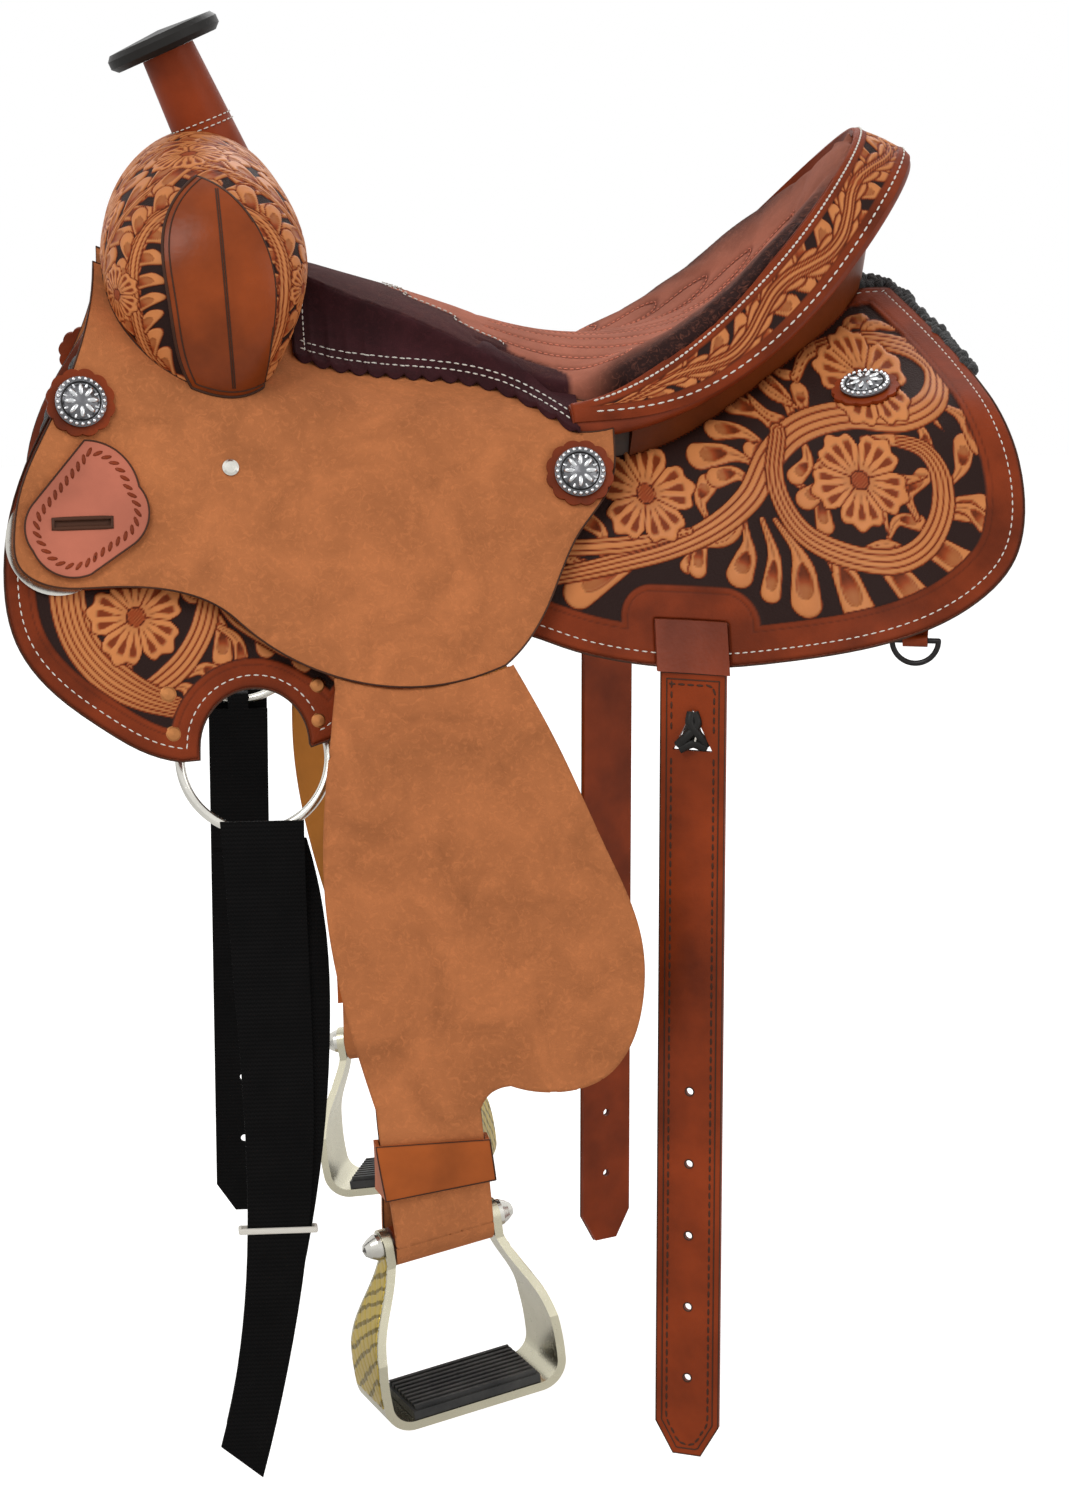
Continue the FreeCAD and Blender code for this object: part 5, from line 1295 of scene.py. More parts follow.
def numbers_of(mesh, what="co"):
    """The places, or the normals, of a mesh's points, a row to each."""
    numbers = np.empty(len(mesh.vertices) * 3, np.float32)
    mesh.vertices.foreach_get(what, numbers)
    return numbers.reshape(-1, 3).astype(float)


def coordinates(made):
    return numbers_of(made.data)


def normals(made):
    return numbers_of(made.data, "normal")


def reshape(made, points):
    """Moves a piece's points."""
    made.data.vertices.foreach_set("co", np.asarray(points, np.float32).ravel())
    made.data.update()


CREASE = 0.6  # radians: an edge that turns more than this is kept crisp


def crisp_marks(node, skip):
    """Marks along a solid's sharp edges, apart from those whose ends are both skipped."""
    work, marks = merged(node), []
    for edge in work.edges:
        if len(edge.link_faces) == 2 and edge.calc_face_angle(0) > CREASE:
            a, b = (vertex.co for vertex in edge.verts)
            if not (skip(a) and skip(b)):
                size = (b - a).length
                count = 8 if size < 0.004 else int(size / 0.0005)
                marks += [a.lerp(b, k / max(1, count)) for k in range(count + 1)]
    work.free()
    return marks


def drawn_back(made, *nodes, reach=0.003, crisp=0.0, skip=lambda place: False):
    """Puts a remeshed copy back on its solids and on their sharp edges, for an even outline."""
    solid, points = tree_of(*nodes), coordinates(made)
    marks = [mark for node in nodes for mark in crisp_marks(node, skip)] if crisp else []
    corners = finder_of(marks)
    for number, point in enumerate(points):
        place, _, _, far = solid.find_nearest(Vector(point))
        if far is not None and far < reach:
            points[number] = place
        if marks:
            corner, _, gap = corners.find(Vector(points[number]))
            if gap < crisp:
                points[number] = corner
    reshape(made, points)


def relaxed(made, rounds):
    """Evens out the steps a remesh leaves."""
    work = bmesh.new()
    work.from_mesh(made.data)
    for _ in range(rounds):
        bmesh.ops.smooth_vert(work, verts=work.verts, factor=0.5, use_axis_x=True, use_axis_y=True,
                              use_axis_z=True)
    work.to_mesh(made.data)
    work.free()
    smoothed(made)


# ------------------------------------------------------------------ swell and horn
NECK_MARKS = 72
SEAM_X, SEAM_HALF, SEAM_MARKS = -0.227, 0.0007, 40  # the gusset's upright seam
SWELL_MIDDLE = Vector((-0.234, 0, 0.096))
SWELL_ROUND, SWELL_END, SWELL_CAP = 0.072, 0.105, 0.118


def swell_sight(u, v):
    """From round the swell: u is the way round it, v the way in from the middle of its end."""
    turn, tilt = u / SWELL_ROUND, min(1.0, v / SWELL_CAP) * math.pi / 2
    out = Vector((math.sin(tilt) * math.sin(turn), -math.cos(tilt), math.sin(tilt) * math.cos(turn)))
    middle = Vector((SWELL_MIDDLE.x, -SWELL_END + max(0.0, v - SWELL_CAP), SWELL_MIDDLE.z))
    return middle + out * 0.3, -out


def swell_carving():
    """Sprays that run round each end of the swell, with flowers set in them."""
    carving = Carving()
    for rise, shift, reach in ((196, 0.4, 34), (146, 1.4, 34), (98, 2.8, 32), (56, 0.2, 24)):
        for way in (-1, 1):
            wave = [(way * u, rise + 6 * math.sin(u / 26.0 + shift)) for u in range(225, -1, -25)]
            carving.spray(wave, 22.0, reach, 7.2, 4.6, 0.60)
    for middle, radius, turn in (((-116, 68), 25, 0.3), ((-8, 122), 24, 0.9), ((112, 72), 20, 0.1),
                                 ((54, 142), 24, 0.5), ((-74, 134), 26, 0.2), ((-168, 120), 24, 0.6),
                                 ((150, 128), 24, 0.4), ((-30, 190), 22, 0.0), ((96, 190), 24, 0.7),
                                 ((-126, 190), 24, 0.3)):
        carving.bloom(middle, radius, turn)
    return carving


class SADDLE_OT_swell(bpy.types.Operator):
    """Lays the carved cover on the swell and sews its plain gussets and the horn"""
    bl_idname = "saddle.swell"
    bl_label = "Carved swell and horn"

    def execute(self, context):
        carving, deep = swell_carving(), context.scene.saddle_carving.depth / MM
        face = OuterFace("swell_cover", outward=lambda place: Vector(
            (place.x - SWELL_MIDDLE.x, 0, place.z - SWELL_MIDDLE.z)).normalized())
        over = tree_of("horn_neck_cover", *[f"{node}_{side}" for node in (
            "swell_gusset", "jockey", "seat_side") for side in SIDES])
        gusset = OuterFace("swell_gusset_left", outward=lambda place: (
            place - Vector((SWELL_MIDDLE.x, -0.06, SWELL_MIDDLE.z))).normalized())
        step = context.scene.saddle_carving.cell * fine(0.92)

        def relief(u, v, edge):
            height, tone = carving.cut(u / MM, v / MM)
            inside = smoothstep((edge - 3.0) / 1.0)
            lift = (0.2 + deep * 0.85 * (inside * height + (1 - inside))) * smoothstep(edge / 1.5)
            return lift, inside * tone + (1 - inside) * 0.2, 1 - inside

        half = SWELL_ROUND * math.pi
        inward = np.append(np.arange(0.016, SWELL_CAP + SWELL_END, step), SWELL_CAP + SWELL_END)
        made = carved_piece("swell_carving_left", laid_sheet(
            np.arange(-half, half, step), inward, swell_sight, face, relief, over=over))
        mirror_piece(made, "swell_carving_right", "saddle")
        low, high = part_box("swell_gusset_left")
        seams = []
        for shift in (-SEAM_HALF, SEAM_HALF):
            line = []
            for number in range(SEAM_MARKS):
                z = high.z - 0.004 - (high.z - low.z - 0.010) * number / (SEAM_MARKS - 1)
                x = SEAM_X + 0.010 * (high.z - z) / (high.z - low.z) + shift
                found = gusset.hit(*from_side(x, z))
                if found:
                    line.append(found[:2])
            seams.append(lifted(line, height=0.00002))
        rim = [lifted(part, height=0.0001) for part in runs(rib_line(gusset, inset=0.0045))]
        edged("swell_seams", both_sides(seams + rim), thickness=0.0011)
        edged("gusset_edges", both_sides(gusset.rims[:1]), thickness=0.0022)
        self.horn()
        return {"FINISHED"}

    def horn(self):
        """Rows of stitches round the foot of the horn's neck."""
        neck_low, neck_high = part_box("horn_neck_cover")
        cover = tree_of("horn_neck_cover")
        cap_low, cap_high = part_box("horn_cap")
        cap_middle = (cap_low + cap_high) / 2
        foot = Vector((neck_high.x - 0.034, 0, neck_low.z + 0.012))
        lean = (cap_middle - foot).normalized()
        ahead = ACROSS.cross(lean).normalized()
        rows = []
        for climb in (0.004, 0.0085):
            ring = []
            for number in range(NECK_MARKS):
                angle = 2 * math.pi * number / NECK_MARKS
                out = ACROSS * math.cos(angle) + ahead * math.sin(angle)
                origin = foot + lean * climb + out * 0.08
                place, normal, _, _ = cover.ray_cast(origin, -out)
                if place is not None:
                    ring.append((place, normal if normal.dot(out) > 0 else -normal))
            rows += [lifted(part + part[:1], height=0.0006) for part in runs(ring, 0.02)]
        stitched("horn_stitching", rows, pitch=0.005, span=0.0036)


# ------------------------------------------------------------------ cantle
CANTLE_REACH, CANTLE_HALF, CANTLE_TIP, CANTLE_RISE = 0.226, 0.146, 0.016, 0.180
ROLL_REACH, ROLL_HALF, ROLL_TIP, ROLL_RISE = 0.266, 0.158, 0.006, 0.172


def cantle_lines(angle):
    """Both edges of the cantle's binding at an angle from its middle, and its outward normal."""
    turn = math.radians(angle)
    share = math.cos(turn)
    inner = Vector((CANTLE_REACH * share, CANTLE_HALF * math.sin(turn),
                    CANTLE_TIP + CANTLE_RISE * share ** 1.6))
    outer = Vector((ROLL_REACH * share, ROLL_HALF * math.sin(turn),
                    ROLL_TIP + ROLL_RISE * share ** 3 * (1 + 1.1 * (1 - share))))
    across = outer - inner
    normal = across.cross(ABOVE).cross(across).normalized()
    return inner, outer, normal


def cantle_carving(half):
    """A vine up each side of the binding, its leaves turned towards the top."""
    carving = Carving()
    for way in (-1, 1):
        wave = [(way * u, 4.5 * math.sin(u / 17.0)) for u in np.linspace(half - 8, 10, 22)]
        carving.spray(wave, 19.0, 29.0, 5.6, 3.0, 0.44)
    carving.bloom((0, 0), 15, 0.3)
    return carving


class SADDLE_OT_cantle(bpy.types.Operator):
    """Carves the band of the cantle's binding and sews its two plain borders"""
    bl_idname = "saddle.cantle"
    bl_label = "Cantle binding"

    def execute(self, context):
        deep = context.scene.saddle_carving.depth / MM
        face = OuterFace("cantle_roll", outward=lambda place: cantle_lines(
            math.degrees(math.atan2(place.y / CANTLE_HALF, max(place.x, 0) / CANTLE_REACH)))[2])
        angles = np.arange(-89.0, 89.01, fine(0.30))
        edges = [cantle_lines(angle)[:2] for angle in angles]
        middles = [(inner + outer) / 2 for inner, outer in edges]
        gaps = [(after - here).length for here, after in zip(middles, middles[1:])]
        steps = np.concatenate(([0], np.cumsum(gaps)))
        steps = (steps - steps[-1] / 2) * 1000
        widths = np.array([(outer - inner).length for inner, outer in edges]) * 1000
        carving = cantle_carving(steps[-1])
        inner_border, outer_border, band_end = 9.0, 10.0, 86  # mm, mm and degrees

        def sight(angle, share):
            inner, outer, normal = cantle_lines(angle)
            return inner + (outer - inner) * share + normal * 0.02, -normal

        def relief(angle, share, edge):
            along, wide = np.interp(angle, angles, steps), np.interp(angle, angles, widths)
            inner, outer = share * wide, (1 - share) * wide
            height, tone = carving.cut(along, (share - 0.5) * 34 * np.clip(44 / (wide + 6), 0.8, 1.6))
            frame_edge = np.minimum(inner - inner_border, outer - outer_border)
            frame_edge = np.minimum(frame_edge, (band_end - np.abs(angle)) * 1.2)
            inside = smoothstep((frame_edge + 0.2) / 0.8)
            line = smoothstep(1 - np.abs(frame_edge) / 0.9)
            roll = np.exp(-((inner - 4.5) / 3.4) ** 2) + np.exp(-((outer - 5.0) / 3.6) ** 2)
            lift = 0.3 + deep * 0.8 * (inside * height + (1 - inside)) + 0.9 * roll
            lift = lift * smoothstep(edge / 1.6)
            tone = inside * tone * (1 - line) + 0.12 * line + 0.2 * (1 - inside)
            return lift, tone, (1 - inside) * (1 - 0.7 * line)

        shares = np.linspace(0.0, 1.0, fine(46))
        made = carved_piece("cantle_carving", laid_sheet(angles, shares, sight, face, relief,
                                                         margin=0.0006))
        top = surface_of(made)
        rows = []
        for share_of in (lambda wide: 4.6 / wide, lambda wide: 1 - 5.2 / wide):
            line = []
            for angle in np.arange(-84, 84.1, 1.0):
                inner, outer, normal = cantle_lines(angle)
                share = share_of((outer - inner).length * 1000)
                place = top.ray_cast(inner + (outer - inner) * share + normal * 0.02, -normal)[0]
                if place is not None:
                    line.append(place + normal * 0.0003)
            rows.append(line)
        stitched("cantle_lacing", rows[:1], pitch=0.0042, span=0.0036, thickness=0.0016)
        stitched("cantle_stitching", rows[1:], pitch=0.0070, span=0.0052, thickness=0.0014)
        edged("cantle_edge", face.rims[:1], thickness=0.0016)
        return {"FINISHED"}


# ------------------------------------------------------------------ seat
def front_panel(x, y):
    """Signed metres into the front panel of the seat, drawn dark as painted shade: it ends in three
    rounded fingers a side.
    """
    side = np.abs(y)
    edge = 0.012 - 0.055 * smoothstep((0.115 - side) / 0.06)
    edge = edge - 0.048 * smoothstep((0.070 - side) / 0.05)
    waves = 0.013 * np.sin(side / 0.0125 * 0.5 * math.pi) ** 2 * smoothstep((0.098 - side) / 0.012)
    return edge - waves - x


def seat_quilting():
    """The seat's quilting lines in plan: nested fingers that open towards the cantle."""
    lines = []
    for reach, half in ((0.186, 0.020), (0.160, 0.048), (0.132, 0.074), (0.098, 0.096),
                        (0.056, 0.114)):
        for way in (-1, 1):
            start = (-0.020 - half * 0.25, way * max(0.004, half - 0.030), 0)
            finger = [(reach * share, way * (half - inset), 0) for share, inset in (
                (0.45, 0.011), (0.84, 0), (1, 0.008), (0.98, 0.019), (0.86, 0.024), (0.70, 0.025))]
            lines.append(path([start, *finger], 60))
    return lines


def plan_distance(points, lines):
    """Distance in plan from each point to the nearest of the lines."""
    finder = finder_of([Vector((mark.x, mark.y, 0))
                        for line in lines for mark in spaced(line, 0.001)])
    return np.array([finder.find((x, y, 0))[2] for x, y, _ in points])


FRAMES = 20  # the time that the seat is given to fill out
PUFF = 0.0075  # the most that it rises
QUILT_DEPTH, SEAM_REACH, ROLL_HEIGHT = 0.0016, 0.0045, 0.0105


class SADDLE_OT_seat(bpy.types.Operator):
    """Makes the padded seat: a cover filled out between its quilting lines"""
    bl_idname = "saddle.seat"
    bl_label = "Padded seat"

    def execute(self, context):
        seat = remeshed("seat_cover", ["seat_pad"], voxel=fine(0.0048))
        relaxed(seat, rounds=2)
        drawn_back(seat, "seat_pad", reach=0.006)
        points, up = coordinates(seat), normals(seat)
        points -= up * 0.0012  # room for the padding to rise
        reshape(seat, points)
        lines = seat_quilting()
        sewn = plan_distance(points, lines)
        top = up[:, 2] > 0.2
        held = np.where(top, smoothstep(1 - sewn / 0.006), 1.0)
        rest = points.copy()
        self.fill(seat, held)
        points = coordinates(seat)
        move = points - rest
        far = np.linalg.norm(move, axis=1, keepdims=True)
        move *= np.minimum(1, PUFF / np.maximum(far, 1e-9))
        points = rest + move * (1 - held)[:, None]
        reshape(seat, points)
        divide = seat.modifiers.new("finer", "SUBSURF")
        divide.levels = divide.render_levels = 1
        seat_body = as_mesh(seat, "seat_cover_fine")
        seat_body.name = seat_body.data.name = "seat_cover"
        points, up = coordinates(seat_body), normals(seat_body)
        sewn = plan_distance(points, lines)
        groove = smoothstep(1 - sewn / SEAM_REACH) * (up[:, 2] > 0.2)
        x, y = points.T[:2]
        share = np.hypot(np.maximum(x, 0) / CANTLE_REACH, y / CANTLE_HALF)
        behind = smoothstep((x - 0.005) / 0.05) * (up[:, 2] > 0.0)
        fall = 0.45 + 0.55 * smoothstep((1.0 - share) / 0.07)
        roll = smoothstep((share - 0.55) / 0.30) * fall * behind
        points -= up * (QUILT_DEPTH * groove)[:, None]
        points += (up * 0.35 + np.array((0, 0, 0.65))) * (ROLL_HEIGHT * roll)[:, None]
        reshape(seat_body, points)
        # dark: where the front panel's painted shade goes
        dark = smoothstep(front_panel(x, y) / 0.0030 + 0.5)
        angle = np.abs(np.degrees(np.arctan2(y / CANTLE_HALF, np.maximum(x, 1e-4) / CANTLE_REACH)))
        # darker towards the cantle's rim, most on its sides
        darkening = smoothstep((share - 0.72) / 0.24) * smoothstep((x + 0.005) / 0.05)
        darkening *= 0.35 + 0.65 * smoothstep((angle - 8) / 30)
        # sewn marks the quilting grooves, which the finish darkens as painted shade
        for label, numbers in (("dark", dark), ("darkening", darkening), ("sewn", groove)):
            keep_numbers(seat_body.data, label, numbers)
        dressed(seat_body, "Quilted Suede")
        smoothed(seat_body)
        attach(seat_body, "saddle")
        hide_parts("seat_pad")
        skin = surface_of(seat_body)

        def dropped(line):
            """A line in plan, let down on the seat."""
            found = []
            for mark in line:
                place, normal, _, _ = skin.ray_cast(Vector((mark.x, mark.y, 0.4)), -ABOVE)
                if place is not None and place.z > -0.02:
                    found.append(place + normal * 0.0008)
            return found

        rows = [dropped([mark for mark in line if front_panel(mark.x, mark.y) < -0.004])
                for line in lines]
        stitched("seat_quilting", [row for row in rows if len(row) > 3], pitch=0.0042, span=0.0031,
                 thickness=0.0011, finish="Quilting Thread")
        fingers = []
        for way in (-1, 1):
            line = []
            for side in np.linspace(0.002, 0.079, 110):
                x = float(front_panel(0.0, np.array(side * way)))
                line.append(Vector((x - 0.0035, side * way, 0)))
            fingers.append(dropped(line))
        stitched("front_panel_stitching", fingers, pitch=0.0045, span=0.0032, thickness=0.0009)
        return {"FINISHED"}

    def fill(self, seat, held):
        """Fills the cover with a little air, held along its seams and underneath."""
        scene = bpy.context.scene
        pins = seat.vertex_groups.new(name="held")
        for number, weight in enumerate(held):
            if weight > 0.02:
                pins.add([number], float(weight), "REPLACE")
        cloth = seat.modifiers.new("cloth", "CLOTH")
        cloth.settings.effector_weights.gravity = 0.0
        for name, value in {"quality": 4, "mass": 0.3, "use_pressure": True,
                            "uniform_pressure_force": 4.0, "vertex_group_mass": "held",
                            "pin_stiffness": 1.0, "tension_stiffness": 12,
                            "compression_stiffness": 12}.items():
            setattr(cloth.settings, name, value)
        cloth.point_cache.frame_start, cloth.point_cache.frame_end = 1, FRAMES
        for frame_number in range(1, FRAMES + 1):
            scene.frame_set(frame_number)
        filled = numbers_of(seat.evaluated_get(bpy.context.evaluated_depsgraph_get()).to_mesh())
        seat.modifiers.remove(cloth)
        seat.vertex_groups.remove(pins)
        scene.frame_set(1)
        reshape(seat, filled)


PANEL_ROWS, PANEL_TURN = 44, 0.0022
DRAPE_DOWN, DRAPE_ALONG = 160, 14  # rounds that draw the cloth tight
SCALLOP_PITCH, SCALLOP_DEPTH = 0.0125, 0.0046


class SADDLE_OT_side_panels(bpy.types.Operator):
    """Draws the dark suede down from the seat to the jockeys, scalloped and sewn twice"""
    bl_idname = "saddle.side_panels"
    bl_label = "Side panels"

    def execute(self, context):
        seat = surface_of(bpy.data.objects["seat_cover"])
        panel = tree_of("seat_side_left")
        under = tree_of("seat_side_left", "ground_seat", "jockey_left", near_only=True)
        low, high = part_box("seat_side_left")
        columns = np.arange(low.x + 0.0008, high.x - 0.001, fine(0.0012))
        heights = np.arange(low.z, high.z, 0.0008)
        tops, edges = [], []
        for x in columns:
            met = [z for z in heights if panel.ray_cast(*from_side(x, z))[0] is not None]
            edges.append(met[0] if met else np.nan)
            top = np.nan
            for z in np.arange(0.16, 0.0, -0.001):
                place, normal, _, _ = seat.ray_cast(*from_side(x, z))
                if place is not None and normal.y < -0.55:
                    top = z
                    break
            tops.append(top)
        number = np.arange(len(columns))
        tops, edges = (np.interp(number, number[~np.isnan(line)], line[~np.isnan(line)])
                       for line in (np.array(tops), np.array(edges)))
        tops, edges = (np.convolve(np.pad(line, 4, "edge"), np.ones(9) / 9, "valid")
                       for line in (tops, edges))
        tops = edges + (tops - edges) * (1 - 0.72 * smoothstep((columns + 0.060) / 0.070))
        scallop = SCALLOP_DEPTH * np.abs(np.sin(np.pi * (columns - low.x) / SCALLOP_PITCH)) ** 0.6
        count = PANEL_ROWS
        depth = np.empty((len(columns), count))
        height = np.empty_like(depth)
        for i, x in enumerate(columns):
            height[i] = np.linspace(tops[i], edges[i] - scallop[i], count)
            for j, z in enumerate(height[i]):
                sights = (tree.ray_cast(*from_side(x, z))[0] for tree in (seat, under))
                met = [place.y for place in sights if place is not None]
                depth[i, j] = min(met) if met else 0.0
            for _ in range(DRAPE_DOWN):
                depth[i, 1:-1] = np.minimum(depth[i, 1:-1], (depth[i, :-2] + depth[i, 2:]) / 2)
        for _ in range(DRAPE_ALONG):
            depth[1:-1] = np.minimum(depth[1:-1], (depth[:-2] + depth[2:]) / 2)
        depth -= 0.0013
        depth[:, 0] += 0.0042
        vertices = [Vector((x, depth[i, j], height[i, j])) for i, x in enumerate(columns)
                    for j in range(count)]
        faces = [(i * count + j, i * count + j + 1, (i + 1) * count + j + 1, (i + 1) * count + j)
                 for i in range(len(columns) - 1) for j in range(count - 1)]
        rim = [i * count + count - 1 for i in range(len(columns))]
        for chain in (range(count), rim):
            start = len(vertices)
            vertices += [vertices[k] + ACROSS * PANEL_TURN for k in chain]
            faces += [(a, start + k, start + k + 1, b) for k, (a, b) in enumerate(zip(chain, chain[1:]))]
        # the dark panel suede on the side panels is painted shade
        made = piece("side_panel_left", vertices, faces, "Panel Suede Painted Shade", "saddle")
        work = bmesh.new()
        work.from_mesh(made.data)
        bmesh.ops.recalc_face_normals(work, faces=work.faces)
        if sum(face.normal.y for face in work.faces) > 0:
            bmesh.ops.reverse_faces(work, faces=work.faces)
        work.to_mesh(made.data)
        work.free()
        mirror_piece(made, "side_panel_right", "saddle")

        def along(rise):
            """A line on the panel at a rise over its lower edge."""
            outs = [float(np.interp(edge + rise, height[i][::-1], depth[i][::-1]))
                    for i, edge in enumerate(edges)]
            return [Vector((x, out - 0.0004, edge + rise))
                    for x, out, edge in zip(columns, outs, edges) if x > low.x + 0.006]

        column = int(np.searchsorted(columns, low.x + 0.007))
        upright = [Vector((columns[column], depth[column, j] - 0.0004, height[column, j]))
                   for j in range(3, count) if height[column, j] > edges[column] + 0.004]
        stitched("side_panel_stitching", both_sides([along(0.0045), along(0.0090), upright]),
                 pitch=0.0056, span=0.0040, thickness=0.0012)
        return {"FINISHED"}


# ------------------------------------------------------------------ straps and panels
class SADDLE_OT_edges(bpy.types.Operator):
    """Dresses the cut edges of the leather and stamps and laces the straps"""
    bl_idname = "saddle.edges"
    bl_label = "Edges and seams"

    def execute(self, context):
        fixed = []
        for node in ("jockey_left", "latigo_keeper_left", "skirt_left"):
            fixed += OuterFace(node).long_rims()
        edged("cut_edges", both_sides(fixed), thickness=0.0013)
        keeper = OuterFace("latigo_keeper_left")
        marks = [mark for part in runs(rib_line(keeper, inset=0.0075))
                 for mark in marked(part, pitch=0.0062)]
        stamp = turned_shape("stamp", [(0.0006, -0.0004), (0.0024, -0.0002), (0.0024, 0.0003),
                                       (0.0008, 0.0006)], 8)
        stamp.data.transform(Matrix.Rotation(0.7, 4, "Z") @ Matrix.Diagonal((1.5, 0.55, 1.0, 1.0)))
        set_out("keeper_stamping", both_marks(marks), stamp, "Border Leather", "saddle")
        slots = [loop for loop in keeper.rims[1:] if len(loop) > 3]
        edged("keeper_slots", both_sides(slots), thickness=0.0030)
        # painted shade: dark sheets under the keepers' slots
        self.slot_shades(keeper, slots)
        for side, way in SIDES.items():
            outward = lambda place, way=way: Vector((0, way, 0))
            billet = OuterFace(f"flank_billet_{side}", outward=outward)
            body = f"flank_billet_{side}"
            inner = [lifted(part, height=0.0) for part in runs(rib_line(billet, inset=0.0042))]
            edged(f"flank_billet_edges_{side}", billet.long_rims() + inner, thickness=0.0010,
                  body=body)
            marks = [mark for part in runs(rib_line(billet, inset=0.0076))
                     for mark in marked(part, pitch=0.0064)]
            stamp = turned_shape("stamp", [(0.0004, -0.0004), (0.0016, -0.0002), (0.0016, 0.0002),
                                           (0.0006, 0.0004)], 8)
            stamp.data.transform(Matrix.Diagonal((1.6, 0.5, 1.0, 1.0)))
            set_out(f"flank_billet_stamping_{side}", marks, stamp, "Edge Leather", body)
            for node in ("stirrup_leather", "hobble_strap"):
                strap = OuterFace(f"{node}_{side}", outward=outward)
                edged(f"{node}_edges_{side}", strap.long_rims(), thickness=0.0011,
                      body=f"fender_{side}")
            window = max(billet.rims[1:], key=lambda loop: max(place.z for place in loop))
            self.lace(side, way, window)
        return {"FINISHED"}

    def slot_shades(self, keeper, slots):
        """Dark sheets under the keepers' slots: painted shade where the slots go deep."""
        vertices, faces = [], []
        for loop in slots:
            middle = sum(loop, Vector()) / len(loop)
            _, normal = keeper.settle(middle)
            start, count = len(vertices), len(loop)
            vertices += [point - normal * 0.0012 for point in loop]
            flat = sum((a.cross(b) for a, b in zip(loop, loop[1:] + loop[:1])), Vector())
            order = range(start, start + count)
            faces.append(tuple(order if flat.dot(normal) > 0 else reversed(order)))
        made = piece("keeper_lining_left", vertices, faces, "Edge Leather", "saddle",
                     smooth=False)
        mirror_piece(made, "keeper_lining_right", "saddle")

    def lace(self, side, way, window):
        """A short lace knotted through the billet's window."""
        low, high = extent(window)
        middle, wide, tall = (low + high) / 2, high.x - low.x, high.z - low.z

        def strand(*places):
            """A line through (share of the width, share of the height, mm outwards)."""
            return path([middle + Vector((a * wide, way * out * MM, c * tall))
                         for a, c, out in places], 24)

        ties = [strand((-0.40, -0.36, 0.4), (-0.16, -0.12, 2.6), (0.10, 0.16, 2.4), (0.04, 0.44, 0.4)),
                strand((0.40, -0.36, 0.4), (0.16, -0.12, 3.4), (-0.08, 0.16, 2.6), (-0.04, 0.44, 0.4)),
                strand((-0.36, -0.44, 0.8), (0.0, -0.30, 2.2), (0.36, -0.44, 0.8)),
                strand((0.0, -0.42, -1.0), (0.02, -0.10, -1.2), (0.0, 0.30, -1.0)),
                strand((-0.22, -0.42, -1.0), (-0.16, -0.16, -1.2), (-0.05, 0.10, -1.0)),
                strand((0.22, -0.42, -1.0), (0.16, -0.16, -1.2), (0.05, 0.10, -1.0))]
        end = strand((-0.05, 0.12, 5.0), (0.06, -0.08, 5.2), (0.02, -0.34, 3.4))
        for name, lines, thickness, finish, slot in (
                ("billet_lace", ties, 0.0066, "Black Leather", "black_leather"),
                ("billet_lace_end", [end], 0.0013, "Thread", "tie_cord")):
            beaded(f"{name}_{side}", lines, thickness, finish, f"flank_billet_{side}")


BEADS, PETALS = 24, 8  # round the rim of a concho, and in each ring of its flower


class SADDLE_OT_conchos(bpy.types.Operator):
    """Sets the roped rim and the engraved flower on each concho"""
    bl_idname = "saddle.conchos"
    bl_label = "Conchos"

    def execute(self, context):
        work = merged("conchos")
        discs, seen = [], set()
        for start in work.verts:
            if start.index in seen:
                continue
            waiting, members = [start], []
            seen.add(start.index)
            while waiting:
                vertex = waiting.pop()
                members.append(tuple(vertex.co))
                for edge in vertex.link_edges:
                    other = edge.other_vert(vertex)
                    if other.index not in seen:
                        seen.add(other.index)
                        waiting.append(other)
            discs.append(np.array(members))
        work.free()
        skin = tree_of("conchos")
        beads, petals, grooves = [], [], []
        for disc in discs:
            middle = disc.mean(0) if len(disc) > 60 else (disc.max(0) + disc.min(0)) / 2
            axis = Vector(np.linalg.svd(disc - disc.mean(0))[2][2])
            if axis.y * middle[1] < 0:
                axis = -axis
            centre = Vector(middle)
            across = axis.cross(ABOVE).normalized()
            above = axis.cross(across)
            flat = disc - np.outer((disc - middle) @ np.array(axis), np.array(axis))
            radius = float(np.linalg.norm(flat - middle, axis=1).max())

            def placed(angle, share, lift):
                """A mark on the disc, at an angle and a share of its radius."""
                out = across * math.cos(angle) + above * math.sin(angle)
                origin = centre + out * radius * share + axis * 0.05
                place = skin.ray_cast(origin, -axis)[0]
                place = place if place is not None else centre + out * radius * share
                return place + axis * lift, axis, out, 1.0

            turn = 2 * math.pi
            beads += [placed(turn * k / BEADS, 0.90, 0.0002) for k in range(BEADS)]
            petals += [placed(turn * k / PETALS, 0.42, 0.0001) for k in range(PETALS)]
            petals += [(*placed(turn * (k + 0.5) / PETALS, 0.62, 0.0)[:3], 0.6) for k in range(PETALS)]
            grooves.append([placed(turn * k / 40, 0.76, 0.0)[0] for k in range(41)])
        bead = turned_shape("bead", [(0.0004, -0.0008), (0.0014, -0.0004), (0.0016, 0.0002),
                                     (0.0010, 0.0012), (0.0002, 0.0014)], 8)
        set_out("concho_beads", beads, bead, "Silver", "saddle")
        leaf = turned_shape("petal", [(0.0006, -0.0006), (0.0022, -0.0003), (0.0022, 0.0003),
                                      (0.0012, 0.0009), (0.0002, 0.0011)], 10)
        leaf.data.transform(Matrix.Diagonal((1.9, 0.8, 1.0, 1.0)))
        set_out("concho_petals", petals, leaf, "Silver", "saddle")
        beaded("concho_grooves", grooves, 0.0013, "Dark Steel", "saddle")
        return {"FINISHED"}


